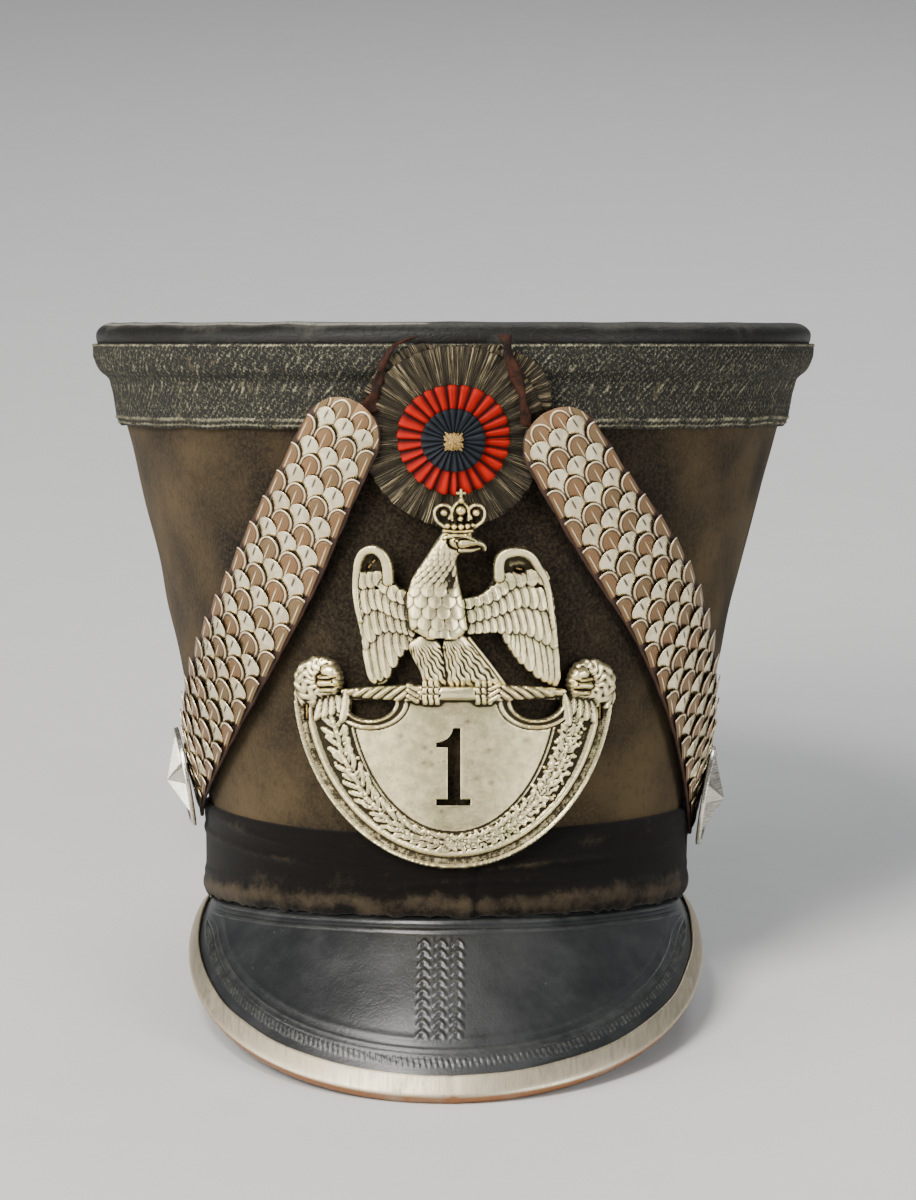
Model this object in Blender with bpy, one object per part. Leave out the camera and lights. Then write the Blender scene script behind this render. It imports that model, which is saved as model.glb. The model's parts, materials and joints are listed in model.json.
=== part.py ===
"""Infantry shako hat: felt crown, leather top and peak, galloon, cockade, plate and scaled chin strap.

The hat is modelled upright in its own frame: the rim of the crown is the plane z = 0, the front
looks along -Y and x = 0 runs through the middle of the top. An empty then leans the whole hat back
until it rests on the peak's edge and on the back of the rim, as it does on a table.
Tables are in millimetres, everything else in metres.
"""
import math

import bmesh
import bpy
import numpy as np
from mathutils import Matrix, Vector
from mathutils.geometry import delaunay_2d_cdt

MM = 0.001
GAP = 0.3 * MM                   # air between pieces that touch

# Felt crown, an oval tube that flares to a round top.
CROWN_WALL = 3.0 * MM
CROWN_PROFILE = (                # height above the rim, half width of the felt
    {"height": 0.0, "half_width": 80.8},
    {"height": 30.0, "half_width": 82.0},
    {"height": 60.0, "half_width": 88.2},
    {"height": 93.0, "half_width": 95.6},
    {"height": 133.0, "half_width": 104.9},
    {"height": 160.0, "half_width": 112.0},
    {"height": 176.0, "half_width": 116.2},
    {"height": 192.0, "half_width": 121.6},
)
BASE_HALF_DEPTH = 98.5 * MM      # front to back at the rim
TOP_HALF_DEPTH = 122.0 * MM      # front to back at the top
BASE_SHIFT = -2.6 * MM           # the base sits a little to one side of the top
AROUND = 48                      # facets round the hat

# Leather top.
TOP_LEVEL = 195.5 * MM
TOP_THICKNESS = 2.4 * MM
LIP_THICKNESS = 1.5 * MM
LIP_BOTTOM = 178.5 * MM

# Woven galloon in two tiers, the upper one over the lip of the leather top.
GALLOON_SECTION = (              # height, distance of the outside from the felt
    {"height": 160.4, "outside": 2.4},
    {"height": 175.6, "outside": 2.6},
    {"height": 178.3, "outside": 4.2},
    {"height": 183.5, "outside": 4.8},
    {"height": 188.5, "outside": 3.8},
)

# Cloth head band.
BAND_FRONT_TOP = 27.0 * MM
BAND_SIDE_TOP = 31.0 * MM
BAND_THICKNESS = 1.7 * MM
BAND_FOLDS = (                   # share of the height, extra thickness of a fold
    {"share": 0.0, "fold": 0.0},
    {"share": 0.12, "fold": 0.5},
    {"share": 0.30, "fold": 0.0},
    {"share": 0.62, "fold": 0.25},
    {"share": 1.0, "fold": -0.3},
)

# Leather peak, a crescent bent round the front of the rim, and its metal rim.
PEAK_DROP = 55.5 * MM            # edge below the rim of the crown, in front
PEAK_REACH = 40.0 * MM           # edge in front of the crown
PEAK_DROP_POWER = 1.45           # how fast both fade towards the sides
PEAK_REACH_POWER = 1.3
PEAK_TUCK = 1.6 * MM             # the leather starts this far under the felt's edge
PEAK_END = math.radians(84.0)
PEAK_THICKNESS = 2.4 * MM
PEAK_CROWNING = 2.2 * MM         # outward bulge half way down
PEAK_SPANS = 26
RIM_FLANGE_FRONT = 9.0 * MM      # metal shown on the top of the peak
RIM_FLANGE_SIDE = 5.5 * MM
RIM_UNDER = 4.5 * MM             # metal folded under the peak
RIM_METAL = 0.7 * MM

# Chin strap halves: azimuth from the front and height of the middle line, boss end first.
STRAP_PATH_LEFT = (
    {"azimuth": 84.0, "height": 40.0},
    {"azimuth": 72.0, "height": 56.0},
    {"azimuth": 58.5, "height": 75.0},
    {"azimuth": 42.8, "height": 103.0},
    {"azimuth": 28.2, "height": 134.0},
    {"azimuth": 17.6, "height": 167.5},
)
STRAP_PATH_RIGHT = (
    {"azimuth": 83.0, "height": 33.5},
    {"azimuth": 71.0, "height": 54.0},
    {"azimuth": 59.0, "height": 78.0},
    {"azimuth": 43.5, "height": 105.0},
    {"azimuth": 27.0, "height": 134.0},
    {"azimuth": 16.8, "height": 161.8},
)
STRAP_SHAPE = (                  # share of the length, width, distance of the leather from the felt
    {"share": 0.0, "width": 24.0, "stand_off": 2.5},
    {"share": 0.18, "width": 29.0, "stand_off": 2.8},
    {"share": 0.55, "width": 28.5, "stand_off": 3.4},
    {"share": 0.85, "width": 25.5, "stand_off": 3.3},
    {"share": 1.0, "width": 23.5, "stand_off": 3.3},
)
STRAP_LEATHER = 1.4 * MM
STRAP_EDGE = 1.0 * MM            # leather shown beyond the scales
STRAP_STEPS = 19
SCALE_PITCH = 10.8 * MM          # from one row of scales to the next
SCALE_LOBES = 3                  # lobes across the strap
SCALE_REACH = 5.6 * MM           # how far a lobe stands out of its row
SCALE_METAL = 0.8 * MM
SCALE_STEP_BOSS = 0.3 * MM       # height of a free edge, flat under the boss
SCALE_STEP = 2.0 * MM
SCALE_RISE_ROWS = (2, 5)         # rows over which the free edges rise to their full height

# Star bosses.
BOSS_RADIUS = 17.2 * MM
BOSS_STAND_OFF = 6.5 * MM
BOSS_DISC = 1.0 * MM
STAR_POINTS = 5
STAR_RADIUS = 15.6 * MM
STAR_WAIST = 7.0 * MM
STAR_HEIGHT = 7.0 * MM

# Cockade, flat layers on a plane that leans out with the crown.
COCKADE_HEIGHT = 157.5 * MM
COCKADE_LEAN = math.radians(12.0)
COCKADE_STAND_OFF = 3.7 * MM
COCKADE_FLAT_TOP = 31.0 * MM     # the discs are pressed flat at the top edge of the hat
COCKADE_PLEATS = 26
COCKADE_LAYERS = (               # layers from the crown outwards
    {"name": "cockade_back", "radius": 30.8, "raise": 3.6, "thickness": 1.4, "pleat": 0.5},
    {"name": "cockade_pleats", "radius": 29.0, "raise": 1.2, "thickness": 1.9, "pleat": 0.7},
    {"name": "cockade_red", "radius": 18.2, "raise": 0.0, "thickness": 1.6, "pleat": 0.7},
    {"name": "cockade_blue", "radius": 10.5, "raise": 0.0, "thickness": 1.4, "pleat": 0.6},
    {"name": "cockade_knot", "radius": 3.3, "raise": 0.0, "thickness": 1.6, "pleat": 0.4},
)

# Ribbons that hold the strap ends: azimuth, height and distance from the felt along each.
RIBBON_WIDTH = 7.0 * MM
RIBBON_THICKNESS = 0.8 * MM
RIBBON_LEFT = (
    {"azimuth": -14.2, "height": 172.5, "stand_off": 3.2},
    {"azimuth": -13.2, "height": 175.5, "stand_off": 3.6},
    {"azimuth": -12.4, "height": 178.5, "stand_off": 4.8},
    {"azimuth": -10.8, "height": 183.5, "stand_off": 5.2},
    {"azimuth": -9.2, "height": 189.0, "stand_off": 4.3},
    {"azimuth": -8.8, "height": 191.5, "stand_off": 3.2},
)

# Stamped front plate, drawn in millimetres right and up from the middle of the bar.
PLATE_LEVEL = 74.5               # height of the bar's middle above the rim
PLATE_BEND = (                   # distance from the felt: over the head band, then over the cockade
    {"v": 34.0, "stand_off": 2.5},
    {"v": 50.0, "stand_off": 6.6},
    {"v": 67.0, "stand_off": 8.8},
)
PLATE_SHEET = 0.9                # metal under the relief
SHIELD_OUTER = {"centre": 3.0, "half_width": 52.8, "depth": 59.8}
SHIELD_INNER = {"centre": 3.0, "half_width": 33.6, "depth": 48.0}
SHIELD_TOP = -2.0
SHIELD_RELIEF = (                # share of the border from the outside in, height of the relief
    {"share": 0.0, "rise": 0.3},
    {"share": 0.06, "rise": 1.0},
    {"share": 0.14, "rise": 0.2},
    {"share": 0.27, "rise": 0.2},
    {"share": 0.34, "rise": 1.2},
    {"share": 0.42, "rise": 0.4},
    {"share": 0.66, "rise": 1.5},
    {"share": 0.90, "rise": 0.4},
    {"share": 0.97, "rise": 0.7},
    {"share": 1.04, "rise": 0.0},
)
BAR = {"half_length": 36.0, "half_height": 2.4, "rise": 1.7}
NOTCH = {"middle": 27.6, "half_width": 8.4, "depth": 7.4, "top": -2.3, "moulding": 3.2, "rise": 1.0}
LION = {"middle": 44.8, "level": 4.6, "radius": 7.8, "rise": 3.4}
SLOT = {"middle": 47.8, "low": -9.2, "high": -5.4, "half_width": 1.0}
NUMERAL_BARS = (                 # boxes that make up the pierced numeral
    {"left": -5.6, "right": 5.6, "low": -36.8, "high": -34.6},
    {"left": -1.9, "right": 2.1, "low": -36.8, "high": -11.9},
    {"left": -4.0, "right": 0.0, "low": -16.6, "high": -14.4},
)
EAGLE_STROKES = (                # tapering strokes: start, end, half width at both, rise
    {"part": "crown", "u": -3.2, "v": 57.2, "to_u": 7.0, "to_v": 57.2, "half": 3.4, "to_half": 3.4, "rise": 1.8},
    {"part": "orb", "u": 2.2, "v": 60.0, "to_u": 2.2, "to_v": 63.0, "half": 2.6, "to_half": 1.9, "rise": 2.2},
    {"part": "cross", "u": 2.4, "v": 63.0, "to_u": 2.4, "to_v": 65.6, "half": 1.2, "to_half": 0.8, "rise": 1.2},
    {"part": "head", "u": -2.0, "v": 50.4, "to_u": 2.6, "to_v": 50.6, "half": 4.7, "to_half": 3.9, "rise": 4.2},
    {"part": "beak", "u": 4.0, "v": 50.4, "to_u": 9.6, "to_v": 48.2, "half": 2.3, "to_half": 0.7, "rise": 2.6},
    {"part": "neck", "u": -1.8, "v": 47.5, "to_u": -6.4, "to_v": 36.5, "half": 4.8, "to_half": 7.4, "rise": 4.4},
    {"part": "breast", "u": -6.0, "v": 37.0, "to_u": -5.0, "to_v": 23.0, "half": 7.8, "to_half": 8.4, "rise": 5.6},
    {"part": "belly", "u": -5.0, "v": 24.0, "to_u": -3.5, "to_v": 13.5, "half": 8.4, "to_half": 6.8, "rise": 4.8},
    {"part": "thigh", "u": -9.2, "v": 21.0, "to_u": -9.6, "to_v": 9.5, "half": 5.6, "to_half": 3.8, "rise": 3.8},
    {"part": "thigh", "u": 0.2, "v": 19.0, "to_u": 1.8, "to_v": 9.5, "half": 5.8, "to_half": 3.6, "rise": 3.8},
    {"part": "leg", "u": -9.4, "v": 9.5, "to_u": -8.0, "to_v": 2.0, "half": 2.8, "to_half": 2.6, "rise": 2.4},
    {"part": "leg", "u": 2.0, "v": 9.5, "to_u": 4.6, "to_v": 2.0, "half": 2.8, "to_half": 2.6, "rise": 2.4},
    {"part": "tail", "u": -1.0, "v": 14.0, "to_u": 12.6, "to_v": 3.4, "half": 4.2, "to_half": 4.6, "rise": 2.0},
    {"part": "shoulder", "u": -9.0, "v": 32.0, "to_u": -16.0, "to_v": 32.0, "half": 5.0, "to_half": 4.6, "rise": 3.0},
    {"part": "arm", "u": -16.5, "v": 32.5, "to_u": -25.0, "to_v": 42.6, "half": 4.4, "to_half": 5.8, "rise": 2.6},
    {"part": "shoulder", "u": -1.0, "v": 29.5, "to_u": 11.0, "to_v": 31.0, "half": 5.0, "to_half": 4.8, "rise": 3.0},
    {"part": "arm", "u": 11.5, "v": 31.5, "to_u": 21.6, "to_v": 41.6, "half": 4.6, "to_half": 5.8, "rise": 2.6},
)
WING_FANS = (                    # feathers fanned from a root line to a tip line
    {"side": "left", "count": 6, "u": -28.8, "v": 38.5, "to_u": -17.0, "to_v": 29.0,
     "tip_u": -24.0, "tip_v": 4.0, "to_tip_u": -15.4, "to_tip_v": 17.5, "half": 2.9, "rise": 1.9},
    {"side": "right", "count": 9, "u": 27.6, "v": 38.5, "to_u": 6.0, "to_v": 28.0,
     "tip_u": 32.0, "tip_v": 3.0, "to_tip_u": 6.5, "to_tip_v": 19.5, "half": 2.9, "rise": 1.9},
)
OUTLINE_STEP = 0.6               # grid on which the plate's outline is traced
OUTLINE_TOLERANCE = 0.16         # how far the traced outline may be straightened
FRONT_SPACING = 3.4              # grid of relief points on the front of the plate
BACK_SPACING = 9.0               # and on its back
POINT_CLEARANCE = 1.45           # relief points are never nearer to each other than this

MATERIALS = {                    # base colour, roughness, metallic
    "felt": ((0.045, 0.032, 0.022), 0.95, 0.0),
    "crown_leather": ((0.030, 0.030, 0.028), 0.55, 0.0),
    "galloon": ((0.060, 0.062, 0.060), 0.85, 0.0),
    "band_cloth": ((0.016, 0.011, 0.008), 0.95, 0.0),
    "peak_leather": ((0.014, 0.015, 0.017), 0.38, 0.0),
    "rim_metal": ((0.72, 0.68, 0.60), 0.35, 1.0),
    "plate_metal": ((0.70, 0.68, 0.60), 0.40, 1.0),
    "scale_metal": ((0.68, 0.55, 0.46), 0.40, 1.0),
    "boss_metal": ((0.66, 0.66, 0.62), 0.30, 1.0),
    "strap_leather": ((0.060, 0.022, 0.012), 0.70, 0.0),
    "cockade_grey": ((0.26, 0.22, 0.16), 0.90, 0.0),
    "cockade_red": ((0.50, 0.035, 0.015), 0.75, 0.0),
    "cockade_blue": ((0.012, 0.014, 0.035), 0.75, 0.0),
    "cockade_thread": ((0.55, 0.42, 0.20), 0.55, 0.0),
    "ribbon": ((0.070, 0.022, 0.014), 0.80, 0.0),
}


# ---------------------------------------------------------------- scene helpers

def material(name):
    """The named finish, made once."""
    found = bpy.data.materials.get(name)
    if found:
        return found
    colour, roughness, metallic = MATERIALS[name]
    made = bpy.data.materials.new(name)
    made.use_nodes = True
    shader = made.node_tree.nodes["Principled BSDF"]
    shader.inputs["Base Color"].default_value = (*colour, 1.0)
    shader.inputs["Roughness"].default_value = roughness
    shader.inputs["Metallic"].default_value = metallic
    return made


def add_piece(name, bm, finish, parent, sharp=math.radians(35.0)):
    """Turn a finished bmesh into a named object on its parent."""
    bmesh.ops.recalc_face_normals(bm, faces=bm.faces)
    mesh = bpy.data.meshes.new(name)
    bm.to_mesh(mesh)
    bm.free()
    mesh.shade_smooth()
    mesh.set_sharp_from_angle(angle=sharp)
    mesh.materials.append(material(finish))
    piece = bpy.data.objects.new(name, mesh)
    bpy.context.scene.collection.objects.link(piece)
    piece.parent = parent
    return piece


def add_empty(name, parent=None):
    """An empty that carries other pieces."""
    empty = bpy.data.objects.new(name, None)
    bpy.context.scene.collection.objects.link(empty)
    empty.parent = parent
    return empty


def column(table, key):
    """One column of a table."""
    return [row[key] for row in table]


def loft(rings, loop=False):
    """Skin a row of rings; the first and last are closed unless the rings form a loop."""
    bm = bmesh.new()
    rows = [[bm.verts.new(point) for point in ring] for ring in rings]
    count = len(rows[0])
    following = rows[1:] + rows[:1] if loop else rows[1:]
    for near, far in zip(rows, following):
        for k in range(count):
            after = (k + 1) % count
            bm.faces.new((near[k], near[after], far[after], far[k]))
    if not loop:
        bm.faces.new(rows[0])
        bm.faces.new(rows[-1])
    return bm


# ---------------------------------------------------------------- the crown's surface

def half_width(height):
    """Half width of the felt at a height."""
    return np.interp(height / MM, column(CROWN_PROFILE, "height"), column(CROWN_PROFILE, "half_width")) * MM


def half_depth(height):
    """Half depth of the felt, oval at the rim and round at the top."""
    narrow, wide = CROWN_PROFILE[0]["half_width"] * MM, CROWN_PROFILE[-1]["half_width"] * MM
    share = (half_width(height) - narrow) / (wide - narrow)
    return BASE_HALF_DEPTH + (TOP_HALF_DEPTH - BASE_HALF_DEPTH) * share


def side_shift(height):
    """Sideways shift of the oval, none at the top."""
    return BASE_SHIFT * (1.0 - height / (CROWN_PROFILE[-1]["height"] * MM))


def crown_point(azimuth, height, stand_off=0.0):
    """A point at an azimuth from the front, this far outside the felt."""
    across = half_width(height) + stand_off
    along = half_depth(height) + stand_off
    return Vector((side_shift(height) + across * math.sin(azimuth), -along * math.cos(azimuth), height))


def oval(height, stand_off):
    """A ring round the crown."""
    return [crown_point(2.0 * math.pi * (k + 0.5) / AROUND, height, stand_off) for k in range(AROUND)]


def build_crown(hat):
    """The felt tube, 3 mm thick and open at both ends."""
    heights = [height * MM for height in column(CROWN_PROFILE, "height")]
    inside_heights = [heights[-1], heights[4], heights[1], heights[0]]
    rings = [oval(height, 0.0) for height in heights]
    rings += [oval(height, -CROWN_WALL) for height in inside_heights]
    add_piece("crown_body", loft(rings, loop=True), "felt", hat)


def build_top(hat):
    """A flat leather disc with a rounded edge and a lip that turns down outside the felt."""
    felt_top = CROWN_PROFILE[-1]["height"] * MM
    lip = GAP + LIP_THICKNESS
    rounded = (
        {"height": TOP_LEVEL, "outside": -4.0 * MM},
        {"height": TOP_LEVEL - 1.2 * MM, "outside": 0.2 * MM},
        {"height": TOP_LEVEL - 3.4 * MM, "outside": 2.2 * MM},
        {"height": TOP_LEVEL - 6.6 * MM, "outside": lip},
    )
    rings = [oval(row["height"], row["outside"]) for row in rounded]
    rings += [oval(LIP_BOTTOM, lip), oval(LIP_BOTTOM, GAP)]
    rings += [oval(felt_top, GAP), oval(TOP_LEVEL - TOP_THICKNESS, -4.0 * MM)]
    add_piece("crown_top", loft(rings), "crown_leather", hat)


def build_galloon(hat):
    """The woven band, stepped where its upper tier runs over the lip of the leather."""
    over_lip = GAP + LIP_THICKNESS + GAP
    low, high = GALLOON_SECTION[0]["height"] * MM, GALLOON_SECTION[-1]["height"] * MM
    rings = [oval(row["height"] * MM, row["outside"] * MM) for row in GALLOON_SECTION]
    rings += [oval(high, over_lip), oval(LIP_BOTTOM - GAP, over_lip)]
    rings += [oval(LIP_BOTTOM - 2.0 * GAP, GAP), oval(low, GAP)]
    add_piece("top_galloon", loft(rings, loop=True), "galloon", hat)


def band_point(azimuth, share, outside):
    """A point of the head band at a share of its height, which falls towards the front."""
    side = math.sin(azimuth) ** 2
    top = BAND_FRONT_TOP + (BAND_SIDE_TOP - BAND_FRONT_TOP) * side
    uneven = 0.5 * MM * math.sin(3.0 * azimuth + 0.6) * share
    return crown_point(azimuth, 0.6 * MM + (top + uneven - 0.6 * MM) * share, outside)


def build_band(hat):
    """The cloth round the base, with a soft fold low down and an uneven upper edge."""
    angles = [2.0 * math.pi * (k + 0.5) / AROUND for k in range(AROUND)]
    rings = []
    for row in BAND_FOLDS:
        outside = GAP + BAND_THICKNESS + row["fold"] * MM
        rings.append([band_point(angle, row["share"], outside) for angle in angles])
    for share in (1.0, 0.0):
        rings.append([band_point(angle, share, GAP) for angle in angles])
    add_piece("head_band", loft(rings, loop=True), "band_cloth", hat)


# ---------------------------------------------------------------- peak

def peak_frame(azimuth, share):
    """Point on the peak's middle surface, its outward normal and its downward direction."""
    outward = Vector((half_depth(0.0) * math.sin(azimuth), -half_width(0.0) * math.cos(azimuth), 0.0)).normalized()
    fade = math.cos(azimuth)
    reach = (PEAK_REACH + PEAK_TUCK) * fade ** PEAK_REACH_POWER + 2.0 * MM * (1.0 - fade)
    drop = (PEAK_DROP - GAP) * fade ** PEAK_DROP_POWER + 3.0 * MM * (1.0 - fade)
    edge = outward * reach - Vector((0.0, 0.0, drop))
    down = edge.normalized()
    normal = (outward - down * outward.dot(down)).normalized()
    under_felt = GAP + PEAK_THICKNESS * 0.5 * normal.z
    root = crown_point(azimuth, 0.0, -PEAK_TUCK) - Vector((0.0, 0.0, under_felt))
    bulge = PEAK_CROWNING * 4.0 * share * (1.0 - share) * fade
    return root + edge * share + normal * bulge, normal, down


def peak_angles():
    """Azimuths of the stations along the peak, with one flat span in the middle."""
    return [PEAK_END * (2.0 * k / PEAK_SPANS - 1.0) for k in range(PEAK_SPANS + 1) if 2 * k != PEAK_SPANS]


def build_peak(hat):
    """The leather crescent, as a row of bent cross sections from one side to the other."""
    shares = (0.0, 0.2, 0.4, 0.6, 0.8, 1.0)
    rings = []
    for azimuth in peak_angles():
        top, under = [], []
        for share in shares:
            point, normal, down = peak_frame(azimuth, share)
            point = point - down * (RIM_METAL + GAP) * share
            top.append(point + normal * PEAK_THICKNESS * 0.5)
            under.append(point - normal * PEAK_THICKNESS * 0.5)
        rings.append(top + under[::-1])
    add_piece("peak", loft(rings), "peak_leather", hat)


def build_peak_rim(hat):
    """A metal channel folded over the edge of the peak."""
    slot = PEAK_THICKNESS * 0.5 + GAP
    outer = slot + RIM_METAL
    rings = []
    for azimuth in peak_angles():
        point, normal, down = peak_frame(azimuth, 1.0)
        flange = RIM_FLANGE_SIDE + (RIM_FLANGE_FRONT - RIM_FLANGE_SIDE) * math.cos(azimuth)
        near = min(flange, 0.8 * (point - peak_frame(azimuth, 0.0)[0]).length)
        start, middle, under = point - down * near, point - down * near * 0.5, point - down * min(RIM_UNDER, near)
        share = 1.0 - near / (point - peak_frame(azimuth, 0.0)[0]).length
        start_mid = peak_frame(azimuth, share)[0]
        middle_mid = peak_frame(azimuth, 0.5 * (1.0 + share))[0]
        lift = normal * (start_mid - start).dot(normal)
        middle_lift = normal * (middle_mid - middle).dot(normal)
        rings.append([
            start + lift + normal * outer,
            middle + middle_lift + normal * outer,
            point + down * 0.4 * MM + normal * outer * 0.8,
            point + down * 0.4 * MM - normal * outer * 0.8,
            under - normal * (outer - 0.1 * MM),
            under - normal * slot,
            point - down * RIM_METAL - normal * slot,
            point - down * RIM_METAL + normal * slot,
            middle + middle_lift + normal * slot,
            start + lift + normal * slot,
        ])
    add_piece("peak_rim", loft(rings), "rim_metal", hat)


# ---------------------------------------------------------------- chin strap halves

class StrapPath:
    """The middle line of one strap half on the crown, read by length from the boss."""

    def __init__(self, table, side):
        knots = np.arange(len(table))
        fine = np.linspace(0.0, len(table) - 1.0, 241)
        self.azimuth = smooth_curve(fine, knots, np.radians(column(table, "azimuth"))) * side
        self.height = smooth_curve(fine, knots, np.array(column(table, "height"))) * MM
        points = [crown_point(a, h) for a, h in zip(self.azimuth, self.height)]
        steps = [(b - a).length for a, b in zip(points, points[1:])]
        self.length_at = np.concatenate([[0.0], np.cumsum(steps)])
        self.length = self.length_at[-1]
        self.side = side

    def point(self, along, across, stand_off):
        """A point this far along and across the strap, above the felt."""
        inside = min(max(along, 0.0), self.length)
        azimuth = np.interp(inside, self.length_at, self.azimuth)
        height = np.interp(inside, self.length_at, self.height)
        ahead = min(inside + 2.0 * MM, self.length)
        behind = max(inside - 2.0 * MM, 0.0)
        turn = np.interp(ahead, self.length_at, self.azimuth) - np.interp(behind, self.length_at, self.azimuth)
        climb = np.interp(ahead, self.length_at, self.height) - np.interp(behind, self.length_at, self.height)
        radius = self.radius(azimuth, height)
        run = math.hypot(turn * radius, climb)
        tangent = (turn * radius / run, climb / run)
        over = along - inside
        azimuth += (over * tangent[0] - across * tangent[1]) / radius
        height += over * tangent[1] + across * tangent[0]
        return crown_point(azimuth, height, stand_off)

    def radius(self, azimuth, height):
        """Length of the surface per radian of azimuth."""
        return math.hypot(half_width(height) * math.cos(azimuth), half_depth(height) * math.sin(azimuth))

    def width(self, along):
        """Width of the scales, with a rounded free end."""
        share = min(max(along / self.length, 0.0), 1.0)
        width = np.interp(share, column(STRAP_SHAPE, "share"), column(STRAP_SHAPE, "width")) * MM
        left = max(self.length + 5.0 * MM - along, 0.0)
        rounding = width * 0.5
        if left < rounding:
            width *= math.sqrt(max(1.0 - (1.0 - left / rounding) ** 2, 0.05))
        return width

    def stand_off(self, along):
        """Distance of the leather from the felt."""
        share = min(max(along / self.length, 0.0), 1.0)
        return np.interp(share, column(STRAP_SHAPE, "share"), column(STRAP_SHAPE, "stand_off")) * MM


def smooth_curve(at, knots, values):
    """A Catmull-Rom curve through the knots."""
    ends = np.concatenate([[2.0 * values[0] - values[1]], values, [2.0 * values[-1] - values[-2]]])
    index = np.clip(np.floor(at).astype(int), 0, len(knots) - 2)
    t = at - index
    before, here, there, after = (ends[index + k] for k in range(4))
    return 0.5 * (2.0 * here + (there - before) * t + (2.0 * before - 5.0 * here + 4.0 * there - after) * t ** 2
                  + (3.0 * here - before - 3.0 * there + after) * t ** 3)


def build_strap(name, path, hat):
    """The leather under the scales, a flat strip that follows the crown."""
    rings = []
    for k in range(STRAP_STEPS + 1):
        along = -6.0 * MM + (path.length + 9.5 * MM) * k / STRAP_STEPS
        half = path.width(along) * 0.5 + STRAP_EDGE
        low = path.stand_off(along)
        across = [half * (2.0 * j / 3.0 - 1.0) for j in range(4)]
        ring = [path.point(along, a, low) for a in across]
        ring += [path.point(along, a, low + STRAP_LEATHER) for a in reversed(across)]
        rings.append(ring)
    add_piece(name, loft(rings), "strap_leather", hat)


def lobe_reach(position):
    """How far the scalloped edge stands out at a position from 0 to 1 across the strap."""
    middle = 2.0 * (position * SCALE_LOBES % 1.0) - 1.0
    return math.sqrt(1.0 - middle * middle) * SCALE_REACH


def build_scales(name, path, hat):
    """Rows of overlapping scales: each free edge is scalloped and steps down to the next row."""
    rows = int((path.length + 2.0 * MM) / SCALE_PITCH) + 1
    first = path.length + 4.5 * MM - SCALE_REACH - (rows - 1) * SCALE_PITCH
    rings = [scale_ring(path, first - SCALE_PITCH, SCALE_METAL)]
    for row in range(rows):
        along = first + row * SCALE_PITCH
        grown = np.interp(row, SCALE_RISE_ROWS, (0.0, 1.0))
        step = SCALE_STEP_BOSS + (SCALE_STEP - SCALE_STEP_BOSS) * grown
        rings.append(scale_ring(path, along, SCALE_METAL + step))
        rings.append(scale_ring(path, along + 0.25 * MM, SCALE_METAL))
    add_piece(name, loft(rings), "scale_metal", hat, sharp=math.radians(28.0))


def scale_ring(path, along, height):
    """One cross section of the scales, its upper side bent along the scalloped edge."""
    half = path.width(along + SCALE_REACH) * 0.5
    base = STRAP_LEATHER + GAP
    columns = 4 * SCALE_LOBES
    ring = []
    for k in range(columns + 1):
        reach = lobe_reach(k / columns)
        level = path.stand_off(along + reach) + base + height
        ring.append(path.point(along + reach, half * (2.0 * k / columns - 1.0), level))
    for share in (1.0, 1.0 / 3.0, -1.0 / 3.0, -1.0):
        ring.append(path.point(along, half * share, path.stand_off(along) + base))
    return ring


def build_boss(name, row, side, hat):
    """A round disc with a five-pointed star that rises to a point, in its own frame."""
    bm = bmesh.new()
    spokes = 4 * STAR_POINTS
    angles = [2.0 * math.pi * k / spokes for k in range(spokes)]
    back = [bm.verts.new((BOSS_RADIUS * math.cos(a), BOSS_RADIUS * math.sin(a), 0.0)) for a in angles]
    edge = [bm.verts.new((BOSS_RADIUS * math.cos(a), BOSS_RADIUS * math.sin(a), BOSS_DISC)) for a in angles]
    apex = bm.verts.new((0.0, 0.0, STAR_HEIGHT))
    star = []
    for k in range(2 * STAR_POINTS):
        radius = STAR_RADIUS if k % 2 == 0 else STAR_WAIST
        level = BOSS_DISC if k % 2 == 0 else BOSS_DISC * 1.4
        angle = math.pi * k / STAR_POINTS
        star.append(bm.verts.new((radius * math.cos(angle), radius * math.sin(angle), level)))
    bm.faces.new(back)
    for k in range(spokes):
        after = (k + 1) % spokes
        bm.faces.new((back[k], back[after], edge[after], edge[k]))
    for k in range(2 * STAR_POINTS):
        here, there = star[k], star[(k + 1) % (2 * STAR_POINTS)]
        first, second, third = edge[2 * k], edge[2 * k + 1], edge[(2 * k + 2) % spokes]
        bm.faces.new((apex, here, there))
        bm.faces.new((here, first, second))
        bm.faces.new((here, second, there))
        bm.faces.new((there, second, third))
    boss = add_piece(name, bm, "boss_metal", hat, sharp=math.radians(10.0))
    azimuth, height = math.radians(row["azimuth"]) * side, row["height"] * MM
    centre = crown_point(azimuth, height, BOSS_STAND_OFF)
    up = crown_point(azimuth, height + 8.0 * MM) - crown_point(azimuth, height - 8.0 * MM)
    round_way = crown_point(azimuth + 0.1, height) - crown_point(azimuth - 0.1, height)
    outward = round_way.cross(up).normalized()
    axis_x = up.normalized()
    axis_y = outward.cross(axis_x)
    boss.matrix_local = Matrix.Translation(centre) @ Matrix((axis_x, axis_y, outward)).transposed().to_4x4()


# ---------------------------------------------------------------- cockade

def build_cockade(hat):
    """Pleated discs on one leaning plane, each a little smaller than the one behind."""
    stem = add_empty("cockade_place", hat)
    stem.location = crown_point(0.0, COCKADE_HEIGHT, COCKADE_STAND_OFF)
    stem.rotation_euler = (math.radians(90.0) + COCKADE_LEAN, 0.0, 0.0)
    finishes = ("cockade_grey", "cockade_grey", "cockade_red", "cockade_blue", "cockade_thread")
    level = 0.0
    for row, finish in zip(COCKADE_LAYERS, finishes):
        disc = add_piece(row["name"], pleated_disc(row), finish, stem, sharp=math.radians(15.0))
        disc.location = (0.0, row["raise"] * MM, level)
        level += row["thickness"] * MM + GAP
    return stem


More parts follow.
